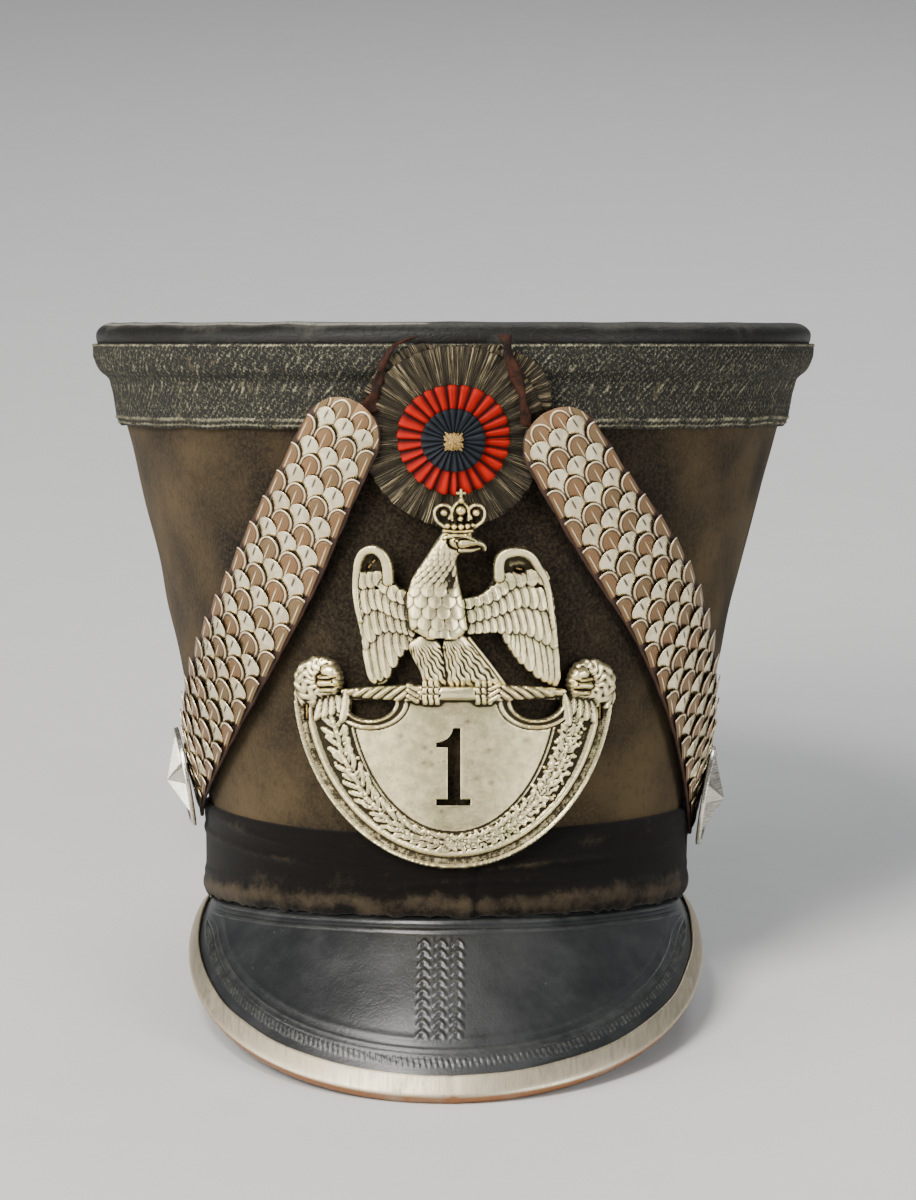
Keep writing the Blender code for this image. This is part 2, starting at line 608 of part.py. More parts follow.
def pleated_disc(row):
    """A disc whose front folds up and down round its edge and flattens towards its middle."""
    radius, thickness, pleat = row["radius"] * MM, row["thickness"] * MM, row["pleat"] * MM
    spokes = 2 * COCKADE_PLEATS if row["radius"] > 5.0 else 10
    angles = [2.0 * math.pi * k / spokes for k in range(spokes)]

    def circle(share, height, fold):
        ring = []
        for k, angle in enumerate(angles):
            uneven = 1.0 + 0.012 * math.sin(3.0 * angle + radius / MM) * share
            reach = radius * share * uneven
            top = COCKADE_FLAT_TOP - row["raise"] * MM
            ring.append((reach * math.cos(angle), min(reach * math.sin(angle), top), height - fold * (k % 2)))
        return ring

    return loft([
        circle(1.0, 0.0, 0.0),
        circle(1.0, thickness, pleat),
        circle(0.3, thickness, 0.3 * pleat),
    ])


def build_ribbons(hat, stem):
    """A ribbon from the left strap end up behind the cockade, and one over its right side."""
    rings = []
    for row in RIBBON_LEFT:
        height, azimuth = row["height"] * MM, math.radians(row["azimuth"])
        half = RIBBON_WIDTH * 0.5 / half_width(height)
        low, high = row["stand_off"] * MM, row["stand_off"] * MM + RIBBON_THICKNESS
        rings.append([
            crown_point(azimuth - half, height, low),
            crown_point(azimuth + half, height, low),
            crown_point(azimuth + half, height, high),
            crown_point(azimuth - half, height, high),
        ])
    add_piece("tie_ribbon_left", loft(rings), "ribbon", hat)

    over_pleats = sum(row["thickness"] for row in COCKADE_LAYERS[:2]) * MM + 3.0 * GAP
    run = (                      # in the cockade's own plane: right, up, front
        {"x": 24.0, "y": 4.0, "z": over_pleats},
        {"x": 22.5, "y": 12.0, "z": over_pleats + 0.8 * MM},
        {"x": 20.0, "y": 21.0, "z": over_pleats + 0.5 * MM},
        {"x": 17.5, "y": 29.0, "z": over_pleats},
        {"x": 16.5, "y": 34.0, "z": over_pleats - 1.2 * MM},
    )
    rings = []
    for row in run:
        x, y, z, half = row["x"] * MM, row["y"] * MM, row["z"], 2.6 * MM
        rings.append([(x - half, y - 0.6 * MM, z), (x + half, y, z),
                      (x + half, y, z + RIBBON_THICKNESS), (x - half, y - 0.6 * MM, z + RIBBON_THICKNESS)])
    add_piece("tie_ribbon_right", loft(rings), "ribbon", stem)


# ---------------------------------------------------------------- front plate

def stroke_depth(u, v, row):
    """Depth inside a tapering stroke, and the share of its half width from its middle line."""
    start = np.array((row["u"], row["v"]))
    run = np.array((row["to_u"], row["to_v"])) - start
    share = np.clip(((u - start[0]) * run[0] + (v - start[1]) * run[1]) / (run @ run), 0.0, 1.0)
    away = np.hypot(u - start[0] - run[0] * share, v - start[1] - run[1] * share)
    half = row["half"] + (row["to_half"] - row["half"]) * share
    return half - away, away / half


def fan_strokes(fan):
    """The feathers of one wing as strokes, long at the outside and short at the body."""
    strokes = []
    for k in range(fan["count"]):
        share = k / (fan["count"] - 1.0)
        strokes.append({
            "u": fan["u"] + (fan["to_u"] - fan["u"]) * share,
            "v": fan["v"] + (fan["to_v"] - fan["v"]) * share,
            "to_u": fan["tip_u"] + (fan["to_tip_u"] - fan["tip_u"]) * share,
            "to_v": fan["tip_v"] + (fan["to_tip_v"] - fan["tip_v"]) * share,
            "half": fan["half"], "to_half": 0.5 * fan["half"], "rise": fan["rise"] - 0.12 * k,
        })
    return strokes


def border_share(u, v):
    """Share of the way from the shield's outer edge to its inner field."""
    share = np.zeros(np.shape(u))
    for _ in range(12):
        wide = SHIELD_OUTER["half_width"] + (SHIELD_INNER["half_width"] - SHIELD_OUTER["half_width"]) * share
        deep = SHIELD_OUTER["depth"] + (SHIELD_INNER["depth"] - SHIELD_OUTER["depth"]) * share
        reach = np.sqrt((u / wide) ** 2 + ((v - SHIELD_OUTER["centre"]) / deep) ** 2)
        share = share + (1.0 - reach) * 2.6
    return share


def shield_depth(u, v):
    """Depth inside the crescent shield's outer edge."""
    outer = SHIELD_OUTER
    reach = np.sqrt((u / outer["half_width"]) ** 2 + ((v - outer["centre"]) / outer["depth"]) ** 2)
    return np.minimum((1.0 - reach) * outer["half_width"], SHIELD_TOP - v)


def notch_depth(u, v):
    """Depth inside the two openings under the bar."""
    reach = np.hypot((np.abs(u) - NOTCH["middle"]) / NOTCH["half_width"], (v - NOTCH["top"]) / NOTCH["depth"])
    return np.minimum((1.0 - reach) * NOTCH["depth"], NOTCH["top"] - v)


def box_depth(u, v, box):
    """Depth inside an upright box."""
    return np.minimum(np.minimum(u - box["left"], box["right"] - u), np.minimum(v - box["low"], box["high"] - v))


def slot_depth(u, v):
    """Depth inside the small upright slots beside the border."""
    beyond = v - np.clip(v, SLOT["low"], SLOT["high"])
    return SLOT["half_width"] - np.hypot(np.abs(u) - SLOT["middle"], beyond)


def plate_strokes():
    """Every stroke of the eagle."""
    strokes = list(EAGLE_STROKES)
    for fan in WING_FANS:
        strokes += fan_strokes(fan)
    return strokes


def plate_depth(u, v):
    """Depth inside the plate's outline, negative outside it and in its openings."""
    depth = shield_depth(u, v)
    depth = np.maximum(depth, np.minimum(BAR["half_length"] + 6.0 - np.abs(u), BAR["half_height"] - np.abs(v)))
    depth = np.maximum(depth, LION["radius"] - np.hypot(np.abs(u) - LION["middle"], v - LION["level"]))
    for row in plate_strokes():
        depth = np.maximum(depth, stroke_depth(u, v, row)[0])
    depth = np.minimum(depth, -notch_depth(u, v))
    depth = np.minimum(depth, -slot_depth(u, v))
    for box in NUMERAL_BARS:
        depth = np.minimum(depth, -box_depth(u, v, box))
    return depth


def plate_relief(u, v):
    """Height of the relief above the sheet."""
    share = border_share(u, v)
    rise = np.interp(share, column(SHIELD_RELIEF, "share"), column(SHIELD_RELIEF, "rise"))
    rise = np.where(v < SHIELD_TOP, rise, 0.0)
    moulding = -notch_depth(u, v) / NOTCH["moulding"]
    bead = np.sin(np.pi * np.clip(moulding, 0.0, 1.0)) * NOTCH["rise"]
    rise = np.where((moulding < 1.0) & (v < SHIELD_TOP), np.maximum(bead, 0.15), rise)
    bar = 1.0 - (v / BAR["half_height"]) ** 2
    rise = np.where((bar > 0.0) & (np.abs(u) < LION["middle"]), np.sqrt(np.maximum(bar, 0.0)) * BAR["rise"], rise)
    for row in plate_strokes():
        depth, away = stroke_depth(u, v, row)
        dome = np.sqrt(np.clip(1.0 - away ** 2, 0.0, 1.0)) * row["rise"]
        rise = np.where(depth > 0.0, np.maximum(rise, dome), rise)
    head = np.hypot(np.abs(u) - LION["middle"], v - LION["level"]) / LION["radius"]
    dome = np.sqrt(np.clip(1.0 - head ** 2, 0.0, 1.0)) * LION["rise"]
    muzzle = np.hypot(np.abs(u) - LION["middle"] + 4.4, v - LION["level"] + 1.6) / 3.2
    dome += np.sqrt(np.clip(1.0 - muzzle ** 2, 0.0, 1.0)) * 1.2
    return np.where(head < 1.0, np.maximum(rise, dome), rise)


def outline_loops(us, vs, depth):
    """Closed loops of the zero line of a sampled field, by marching over the cells of its grid."""
    points, links = {}, {}

    def crossing(i, j, k, l):
        """Where the line crosses the grid edge between two samples."""
        key = (i, j, k, l)
        if key not in points:
            share = depth[i, j] / (depth[i, j] - depth[k, l])
            points[key] = (us[i] + (us[k] - us[i]) * share, vs[j] + (vs[l] - vs[j]) * share)
        return key

    inside = depth > 0.0
    mixed = inside[:-1, :-1].astype(int) + inside[1:, :-1] + inside[:-1, 1:] + inside[1:, 1:]
    for i, j in zip(*np.nonzero((mixed > 0) & (mixed < 4))):
        corners = ((i, j), (i + 1, j), (i + 1, j + 1), (i, j + 1))
        leave, enter = [], []
        for k in range(4):
            a, b = corners[k], corners[(k + 1) % 4]
            if inside[a] and not inside[b]:
                leave.append(crossing(*min(a, b), *max(a, b)))
            if inside[b] and not inside[a]:
                enter.append(crossing(*min(a, b), *max(a, b)))
        if len(leave) == 2 and depth[i, j] + depth[i + 1, j] + depth[i, j + 1] + depth[i + 1, j + 1] > 0.0:
            enter.reverse()
        for a, b in zip(leave, enter):
            links[a] = b
    loops = []
    while links:
        first, here = links.popitem()
        loop = [points[first]]
        while here != first:
            loop.append(points[here])
            here = links.pop(here)
        loops.append(np.array(loop))
    return loops


def straighten(loop, tolerance):
    """Leave out the points of a loop that lie within the tolerance of a straight run."""
    keep = np.zeros(len(loop), bool)
    middle = len(loop) // 2
    spans = [(0, middle), (middle, len(loop))]
    ring = np.vstack([loop, loop[:1]])
    while spans:
        low, high = spans.pop()
        keep[low], keep[high % len(loop)] = True, True
        run = ring[high] - ring[low]
        inner = ring[low + 1:high]
        if len(inner) == 0:
            continue
        off = np.abs(run[0] * (inner[:, 1] - ring[low, 1]) - run[1] * (inner[:, 0] - ring[low, 0]))
        off /= max(float(np.hypot(*run)), 1e-9)
        if off.max() > tolerance:
            split = low + 1 + int(off.argmax())
            spans += [(low, split), (split, high)]
    return loop[keep]


def within(points, loops):
    """Which points lie inside an odd number of loops."""
    count = np.zeros(len(points), int)
    for loop in loops:
        ahead = np.roll(loop, -1, axis=0)
        for a, b in zip(loop, ahead):
            spans = (a[1] > points[:, 1]) != (b[1] > points[:, 1])
            if spans.any() and a[1] != b[1]:
                cross = a[0] + (points[:, 1] - a[1]) * (b[0] - a[0]) / (b[1] - a[1])
                count += spans & (points[:, 0] < cross)
    return count % 2 == 1


def relief_points(spacing, along_relief):
    """Points inside the plate: along its ridges and feathers first, then an even grid."""
    wanted = []
    if along_relief:
        for share in (0.06, 0.14, 0.27, 0.34, 0.42, 0.66, 0.9, 1.04):
            wide = SHIELD_OUTER["half_width"] + (SHIELD_INNER["half_width"] - SHIELD_OUTER["half_width"]) * share
            deep = SHIELD_OUTER["depth"] + (SHIELD_INNER["depth"] - SHIELD_OUTER["depth"]) * share
            for angle in np.linspace(math.pi, 2.0 * math.pi, 45):
                wanted.append((wide * math.cos(angle), SHIELD_OUTER["centre"] + deep * math.sin(angle)))
        for row in plate_strokes():
            run = np.array((row["to_u"] - row["u"], row["to_v"] - row["v"]))
            length = float(np.hypot(*run))
            side = np.array((-run[1], run[0])) / length
            for share in np.linspace(0.0, 1.0, max(2, int(length / 3.0) + 1)):
                half = row["half"] + (row["to_half"] - row["half"]) * share
                middle = np.array((row["u"], row["v"])) + run * share
                wanted += [middle, middle + side * half * 0.95, middle - side * half * 0.95]
        for side in (-1.0, 1.0):
            for radius in (0.0, 3.4, 6.2):
                for angle in np.linspace(0.0, 2.0 * math.pi, 10)[:-1]:
                    wanted.append((side * LION["middle"] + radius * math.cos(angle),
                                   LION["level"] + radius * math.sin(angle)))
        wanted += [(u, 0.0) for u in np.linspace(-36.0, 36.0, 25)]
    for j, v in enumerate(np.arange(-57.0, 67.0, spacing)):
        shift = 0.5 * spacing * (j % 2)
        wanted += [(u + shift, v) for u in np.arange(-54.0, 54.0, spacing)]
    wanted = np.array(wanted)
    wanted = wanted[plate_depth(wanted[:, 0], wanted[:, 1]) > 0.55]
    kept = np.empty((0, 2))
    for point in wanted:
        if len(kept) == 0 or np.hypot(*(kept - point).T).min() > POINT_CLEARANCE:
            kept = np.vstack([kept, point])
    return kept


def plate_skin(bm, loops, spacing, along_relief, raised):
    """Triangles over the plate's outline, placed on the crown; returns the outline's vertices."""
    outline = np.vstack(loops)
    inner = relief_points(spacing, along_relief)
    flat = [Vector(point) for point in np.vstack([outline, inner])]
    edges, start = [], 0
    for loop in loops:
        edges += [(start + k, start + (k + 1) % len(loop)) for k in range(len(loop))]
        start += len(loop)
    points, _, faces, origin, _, _ = delaunay_2d_cdt(flat, edges, [], 0, 1e-6)
    places = np.array([tuple(point) for point in points])
    centres = np.array([places[list(face)].mean(axis=0) for face in faces])
    solid = within(centres, loops)
    relief = plate_relief(places[:, 0], places[:, 1]) if raised else np.zeros(len(places))
    verts = []
    for (u, v), rise in zip(places, relief):
        height = (PLATE_LEVEL + v) * MM
        back = np.interp(v, column(PLATE_BEND, "v"), column(PLATE_BEND, "stand_off")) * MM
        azimuth = math.asin((u * MM - side_shift(height)) / (half_width(height) + back))
        above = (PLATE_SHEET + rise) * MM if raised else 0.0
        verts.append(bm.verts.new(crown_point(azimuth, height, back + above)))
    for face, keep in zip(faces, solid):
        if keep:
            bm.faces.new([verts[k] for k in face])
    place = {source: verts[k] for k, sources in enumerate(origin) for source in sources}
    return [place[k] for k in range(len(outline))], verts


def build_plate(hat):
    """The stamped plate: a front with relief, a plain back and a wall round every outline."""
    us = np.arange(-56.17, 56.5, OUTLINE_STEP)
    vs = np.arange(-59.13, 68.5, OUTLINE_STEP)
    depth = plate_depth(us[:, None] + 0.0 * vs[None, :], vs[None, :] + 0.0 * us[:, None])
    loops = [straighten(loop, OUTLINE_TOLERANCE) for loop in outline_loops(us, vs, depth) if len(loop) > 8]
    bm = bmesh.new()
    front, front_verts = plate_skin(bm, loops, FRONT_SPACING, True, True)
    back, back_verts = plate_skin(bm, loops, BACK_SPACING, False, False)
    start = 0
    for loop in loops:
        count = len(loop)
        for k in range(count):
            a, b = start + k, start + (k + 1) % count
            bm.faces.new((front[a], front[b], back[b], back[a]))
        start += count
    loose = [vert for vert in front_verts + back_verts if vert.is_valid and not vert.link_faces]
    bmesh.ops.delete(bm, geom=loose, context="VERTS")
    add_piece("front_plate", bm, "plate_metal", hat, sharp=math.radians(50.0))


# ---------------------------------------------------------------- resting on a table

def world_points():
    """Every vertex of every piece in world space."""
    bpy.context.view_layer.update()
    clouds = []
    for piece in bpy.data.objects:
        if piece.type == "MESH":
            local = np.array([vert.co for vert in piece.data.vertices])
            matrix = np.array(piece.matrix_world)
            clouds.append(local @ matrix[:3, :3].T + matrix[:3, 3])
    return np.vstack(clouds)


def rest_tilt(points):
    """The lean at which the lowest point in front and the lowest point behind are level."""
    tilt = 0.0
    for _ in range(6):
        level = points[:, 2] * math.cos(tilt) - points[:, 1] * math.sin(tilt)
        front = points[np.where(points[:, 1] < 0.0, level, np.inf).argmin()]
        back = points[np.where(points[:, 1] > 0.0, level, np.inf).argmin()]
        tilt = math.atan2(back[2] - front[2], back[1] - front[1])
    return tilt


def set_down(hat):
    """Lean the hat back on the peak's edge and stand it on z = 0, centred over the origin."""
    hat.rotation_euler = (-rest_tilt(world_points()), 0.0, 0.0)
    points = world_points()
    low, high = points.min(axis=0), points.max(axis=0)
    hat.location = (-0.5 * (low[0] + high[0]), -0.5 * (low[1] + high[1]), -low[2])
    bpy.context.view_layer.update()


def main():
    """Clear the scene and build the hat."""
    for old in list(bpy.data.objects):
        bpy.data.objects.remove(old, do_unlink=True)
    hat = add_empty("hat")
    build_crown(hat)
    build_top(hat)
    build_galloon(hat)
    build_band(hat)
    build_peak(hat)
    build_peak_rim(hat)
    build_plate(hat)
    halves = (("left", STRAP_PATH_LEFT, -1.0), ("right", STRAP_PATH_RIGHT, 1.0))
    for side_name, table, side in halves:
        path = StrapPath(table, side)
        build_strap("chin_strap_" + side_name, path, hat)
        build_scales("chin_scales_" + side_name, path, hat)
        build_boss("boss_" + side_name, table[0], side, hat)
    stem = build_cockade(hat)
    build_ribbons(hat, stem)
    set_down(hat)


main()
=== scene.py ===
import json
import math

import bpy
import numpy as np
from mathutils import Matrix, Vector


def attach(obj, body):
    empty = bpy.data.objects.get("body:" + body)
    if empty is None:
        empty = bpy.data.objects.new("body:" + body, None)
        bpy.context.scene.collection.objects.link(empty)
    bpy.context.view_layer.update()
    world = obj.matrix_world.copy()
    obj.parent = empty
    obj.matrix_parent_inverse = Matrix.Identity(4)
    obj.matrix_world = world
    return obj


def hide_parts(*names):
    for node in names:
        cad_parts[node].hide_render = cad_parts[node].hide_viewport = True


# An infantry shako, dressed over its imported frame. Tables are in millimetres in the hat's own frame:
# the rim is the plane z = 0, the front looks along -Y, and x = 0 runs through the middle of the top.
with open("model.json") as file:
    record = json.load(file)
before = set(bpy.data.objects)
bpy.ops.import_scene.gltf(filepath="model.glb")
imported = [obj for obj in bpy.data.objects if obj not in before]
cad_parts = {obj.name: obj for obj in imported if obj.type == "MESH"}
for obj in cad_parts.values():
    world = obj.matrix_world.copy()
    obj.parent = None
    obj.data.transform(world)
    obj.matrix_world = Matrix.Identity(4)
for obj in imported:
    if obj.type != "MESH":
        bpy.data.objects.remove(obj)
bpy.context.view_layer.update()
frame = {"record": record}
print("frame loaded")

# The hat's frame, read from the mount on its top.

millimetre = 0.001  # in metres
fullTurn = 2 * math.pi
hat = {"topLevel": 195.5, "baseHalfDepth": 98.5, "topHalfDepth": 122.0, "baseShift": -2.6, "gap": 0.3}
topMount = next(m for m in frame["record"]["mounts"] if m["name"] == "crown_top")
hatUp = np.array(topMount["axis"], float)
hatUp /= np.linalg.norm(hatUp)
hatRight = np.array([1.0, 0.0, 0.0])
hatBack = np.cross(hatUp, hatRight)
hatOrigin = np.array(topMount["pos_m"], float) - hatUp * hat["topLevel"] * millimetre


def toWorld(points):
    # place = origin + x * right + y * back + z * up, from millimetres to metres
    p = np.asarray(points, float) * millimetre
    return hatOrigin + p[..., 0:1] * hatRight + p[..., 1:2] * hatBack + p[..., 2:3] * hatUp


# Camera, at the photograph's angle to the hat.

shot = {
    "eye": (1.55, -2100.0, 188.0),
    "aim": (1.55, 0.0, 100.0),
    "lens": 182.6,
    "sensor": 36.0,
    "clip": (0.1, 30.0),
}
eye, aim = (Vector(toWorld(np.array(shot[key]))) for key in ("eye", "aim"))
camera = bpy.data.objects.new("camera", bpy.data.cameras.new("camera"))
bpy.context.scene.collection.objects.link(camera)
camera.location = eye
camera.rotation_euler = (aim - eye).to_track_quat("-Z", "Y").to_euler()
camera.data.lens = shot["lens"]
camera.data.sensor_width = shot["sensor"]
camera.data.clip_start, camera.data.clip_end = shot["clip"]
bpy.context.scene.camera = camera


# Small helpers for tables, curves and noise.

def table(names, *rows):
    # rows with named columns: the names are given once, then each row's values in their order
    return [dict(zip(names.split(), row)) for row in rows]


def column(rows, key):
    # one column of a table as an array
    return np.array([row[key] for row in rows], float)


def smoothAt(at, xs, ys):
    # cubic through (xs, ys) whose slopes are those of the neighbouring points
    at, xs, ys = np.asarray(at, float), np.asarray(xs, float), np.asarray(ys, float)
    slope = np.gradient(ys, xs)
    k = np.clip(np.searchsorted(xs, at) - 1, 0, len(xs) - 2)
    span = xs[k + 1] - xs[k]
    t = np.clip((at - xs[k]) / span, 0.0, 1.0)
    return (ys[k] * (1 + 2 * t) * (1 - t) ** 2 + ys[k + 1] * t * t * (3 - 2 * t)
            + slope[k] * span * t * (1 - t) ** 2 - slope[k + 1] * span * t * t * (1 - t))


def bell(x, middle, width):
    # a bump of height 1 that falls off like exp(-square)
    return np.exp(-((x - middle) / width) ** 2)


def step(x, low, high):
    # 0 below low, 1 above high, smooth between
    t = np.clip((x - low) / (high - low), 0.0, 1.0)
    return t * t * (3 - 2 * t)


def quarter(x, power=2):
    # 1 at 0, falling to 0 at 1 either side like a quarter of a circle
    return np.sqrt(np.clip(1 - x ** power, 0, 1))


def fromFront(azimuth):
    # the same angle, counted from the front: -pi to pi
    return (azimuth + math.pi) % fullTurn - math.pi


def unit(vectors):
    # vectors of length 1
    return vectors / np.linalg.norm(vectors, axis=-1, keepdims=True)


def lengths(line):
    # length along a line of points, from its start
    return np.concatenate([[0], np.cumsum(np.linalg.norm(np.diff(line, axis=0), axis=1))])


def wobble(around, along, seed, count=9, rounds=(2, 14), pitch=(20.0, 90.0)):
    # sum of seeded sines, about -1 to 1: whole turns round the hat in azimuth, any wavelength along
    rng = np.random.default_rng(seed)
    total = 0.0
    for _ in range(count):
        turns = rng.integers(rounds[0], rounds[1])
        wave = fullTurn / rng.uniform(*pitch)
        sign = rng.choice((-1.0, 1.0))
        total = total + np.sin(turns * around + sign * wave * along + rng.uniform(0, 6.28))
    return total / math.sqrt(count) * 0.7


# The crown's surface.

crown = {
    "profile": table("height half", (0.0, 80.8), (30.0, 82.0), (60.0, 88.2), (93.0, 95.6), (133.0, 104.9),
        (160.0, 112.0), (176.0, 116.2), (192.0, 121.6)),
    "wall": 3.0, "top": 192.0, "columns": 288, "rows": 84,
    "dent": 0.35, "dentFrom": (25, 60), "dentTo": (150, 165),  # depth, and heights where dents set in and end
    "faded": {"all": 0.13, "sides": 0.45, "low": 0.20, "front": 0.30, "patches": 0.16},
}
profileHeights, profileHalves = column(crown["profile"], "height"), column(crown["profile"], "half")


def halfWidth(height):
    # the oval's half width at a height, along the profile
    return smoothAt(height, profileHeights, profileHalves)


def halfDepth(height):
    # base depth + (top depth - base depth) * how far the width has come from its base to its top value
    share = (halfWidth(height) - profileHalves[0]) / (profileHalves[-1] - profileHalves[0])
    return hat["baseHalfDepth"] + (hat["topHalfDepth"] - hat["baseHalfDepth"]) * share


def sideShift(height):
    # the base sits off the middle line: base shift * (1 - height / top)
    return hat["baseShift"] * (1.0 - np.asarray(height) / crown["top"])


def onCrown(azimuth, height, standOff=0.0):
    # oval ring at each height: x = shift + (half width + stand off) sin, y = -(half depth + stand off) cos
    azimuth, height, standOff = np.broadcast_arrays(azimuth, height, standOff)
    x = sideShift(height) + (halfWidth(height) + standOff) * np.sin(azimuth)
    y = -(halfDepth(height) + standOff) * np.cos(azimuth)
    return np.stack([x, y, np.asarray(height, float)], -1)


def roundAngles(count):
    # even steps once round, without the end that would repeat the start
    return np.linspace(0.0, fullTurn, count, endpoint=False)


# Meshes from grids.

def gridQuads(rows, columns, closeRows=False, closeColumns=False):
    # corner numbers of each quad of a rows x columns grid, wrapped where it is closed
    r = np.arange(rows if closeRows else rows - 1)
    c = np.arange(columns if closeColumns else columns - 1)
    r, c = np.meshgrid(r, c, indexing="ij")
    r2, c2 = (r + 1) % rows, (c + 1) % columns
    quads = np.stack([r * columns + c, r * columns + c2, r2 * columns + c2, r2 * columns + c], -1)
    return quads.reshape(-1, 4)


def meshPiece(name, points, faces, finish, uv=None, marks=None):
    # points in the hat's frame, faces a list of index arrays (quads, triangles), uv one pair for each corner;
    # a mesh whose volume, the sum of a . (b x c) over its triangles, is below zero has its faces turned round
    points = np.asarray(points, float).reshape(-1, 3)
    faces = [np.asarray(f, np.int64) for f in faces if len(f)]
    place = toWorld(points)
    volume = 0.0
    for f in faces:
        for k in range(1, f.shape[1] - 1):
            a, b, c = place[f[:, 0]], place[f[:, k]], place[f[:, k + 1]]
            volume += np.einsum("ij,ij->i", a - hatOrigin, np.cross(b - hatOrigin, c - hatOrigin)).sum()
    if volume < 0:
        faces = [f[:, ::-1] for f in faces]
        uv = None if uv is None else [u[:, ::-1] for u in uv]
    loops = np.concatenate([f.ravel() for f in faces]).astype(np.int32)
    sizes = np.concatenate([np.full(len(f), f.shape[1]) for f in faces])
    mesh = bpy.data.meshes.new(name)
    mesh.vertices.add(len(points))
    mesh.vertices.foreach_set("co", place.astype(np.float32).ravel())
    mesh.loops.add(len(loops))
    mesh.loops.foreach_set("vertex_index", loops)
    mesh.polygons.add(len(sizes))
    mesh.polygons.foreach_set("loop_start", (np.cumsum(sizes) - sizes).astype(np.int32))
    if uv is not None:
        pairs = np.concatenate([u.reshape(-1, 2) for u in uv]).astype(np.float32)
        mesh.uv_layers.new(name="pattern").data.foreach_set("uv", pairs.ravel())
    for key, values in (marks or {}).items():
        mark = mesh.attributes.new(key, "FLOAT", "POINT")
        mark.data.foreach_set("value", np.asarray(values, np.float32).ravel())
    mesh.polygons.foreach_set("use_smooth", np.full(len(sizes), True))
    mesh.update(calc_edges=True)
    mesh.validate()
    mesh.materials.append(finish)
    piece = bpy.data.objects.new(name, mesh)
    bpy.context.scene.collection.objects.link(piece)
    return piece


def joinedPiece(name, grids, finish, uvs=None, marks=None, closeRows=False):
    # many grids of one size (count, rows, columns, 3) as one mesh: columns close into rings, and rows close
    # too or have a fan over each end; uvs have one more row or column where the grid is closed there
    count, rows, columns = grids.shape[:3]
    offset = (np.arange(count) * rows * columns)[:, None, None]
    faces = [(gridQuads(rows, columns, closeRows, True)[None] + offset).reshape(-1, 4)]
    corners = None
    if uvs is not None:
        r, c = np.meshgrid(np.arange(uvs.shape[1] - 1), np.arange(uvs.shape[2] - 1), indexing="ij")
        r, c = r.ravel(), c.ravel()
        corners = [np.stack([uvs[:, r, c], uvs[:, r, c + 1], uvs[:, r + 1, c + 1], uvs[:, r + 1, c]], -2)
                   .reshape(-1, 4, 2)]
    points = grids.reshape(-1, 3)
    marks = {key: np.broadcast_to(v, (count, rows, columns)).ravel() for key, v in (marks or {}).items()}
    for row in () if closeRows else (0, rows - 1):
        ring = np.arange(count)[:, None] * rows * columns + row * columns + np.arange(columns)
        centre = len(points) + np.arange(count)
        points = np.vstack([points, grids[:, row].mean(axis=1)])
        after = np.roll(ring, -1, axis=1)
        middle = np.broadcast_to(centre[:, None], ring.shape)
        order = [middle, after, ring] if row == 0 else [middle, ring, after]
        faces.append(np.stack(order, -1).reshape(-1, 3))
        marks = {key: np.append(v, v[ring].mean(axis=1)) for key, v in marks.items()}
        if corners is not None:
            corners.append(np.zeros((count * columns, 3, 2)))
    return meshPiece(name, points, faces, finish, corners, marks)


def gridPiece(name, grid, finish, uv=None, marks=None, closeRows=False):
    # one grid (rows, columns, 3) as a mesh
    return joinedPiece(name, grid[None], finish, None if uv is None else uv[None], marks, closeRows)


def patternUv(around, along):
    # pattern coordinates of a grid, in millimetres: one along for each row, one around for each column
    return np.stack(np.meshgrid(along, around, indexing="ij")[::-1], -1)


def tubes(paths, radius, sides=6):
    # a round tube of the given radius along each path (count, steps, 3); radius (count, steps) or a number
    paths = np.asarray(paths, float)
    along = np.gradient(paths, axis=1)
    along /= np.linalg.norm(along, axis=-1, keepdims=True) + 1e-9
    side = np.cross(along, np.array([0.31, 0.52, 0.79]))  # any direction that no path follows
    side /= np.linalg.norm(side, axis=-1, keepdims=True) + 1e-9
    over = np.cross(along, side)
    turn = roundAngles(sides)
    radius = np.broadcast_to(radius, paths.shape[:2])[..., None, None]
    ring = side[..., None, :] * np.cos(turn)[:, None] + over[..., None, :] * np.sin(turn)[:, None]
    return paths[..., None, :] + ring * radius


# Finishes.

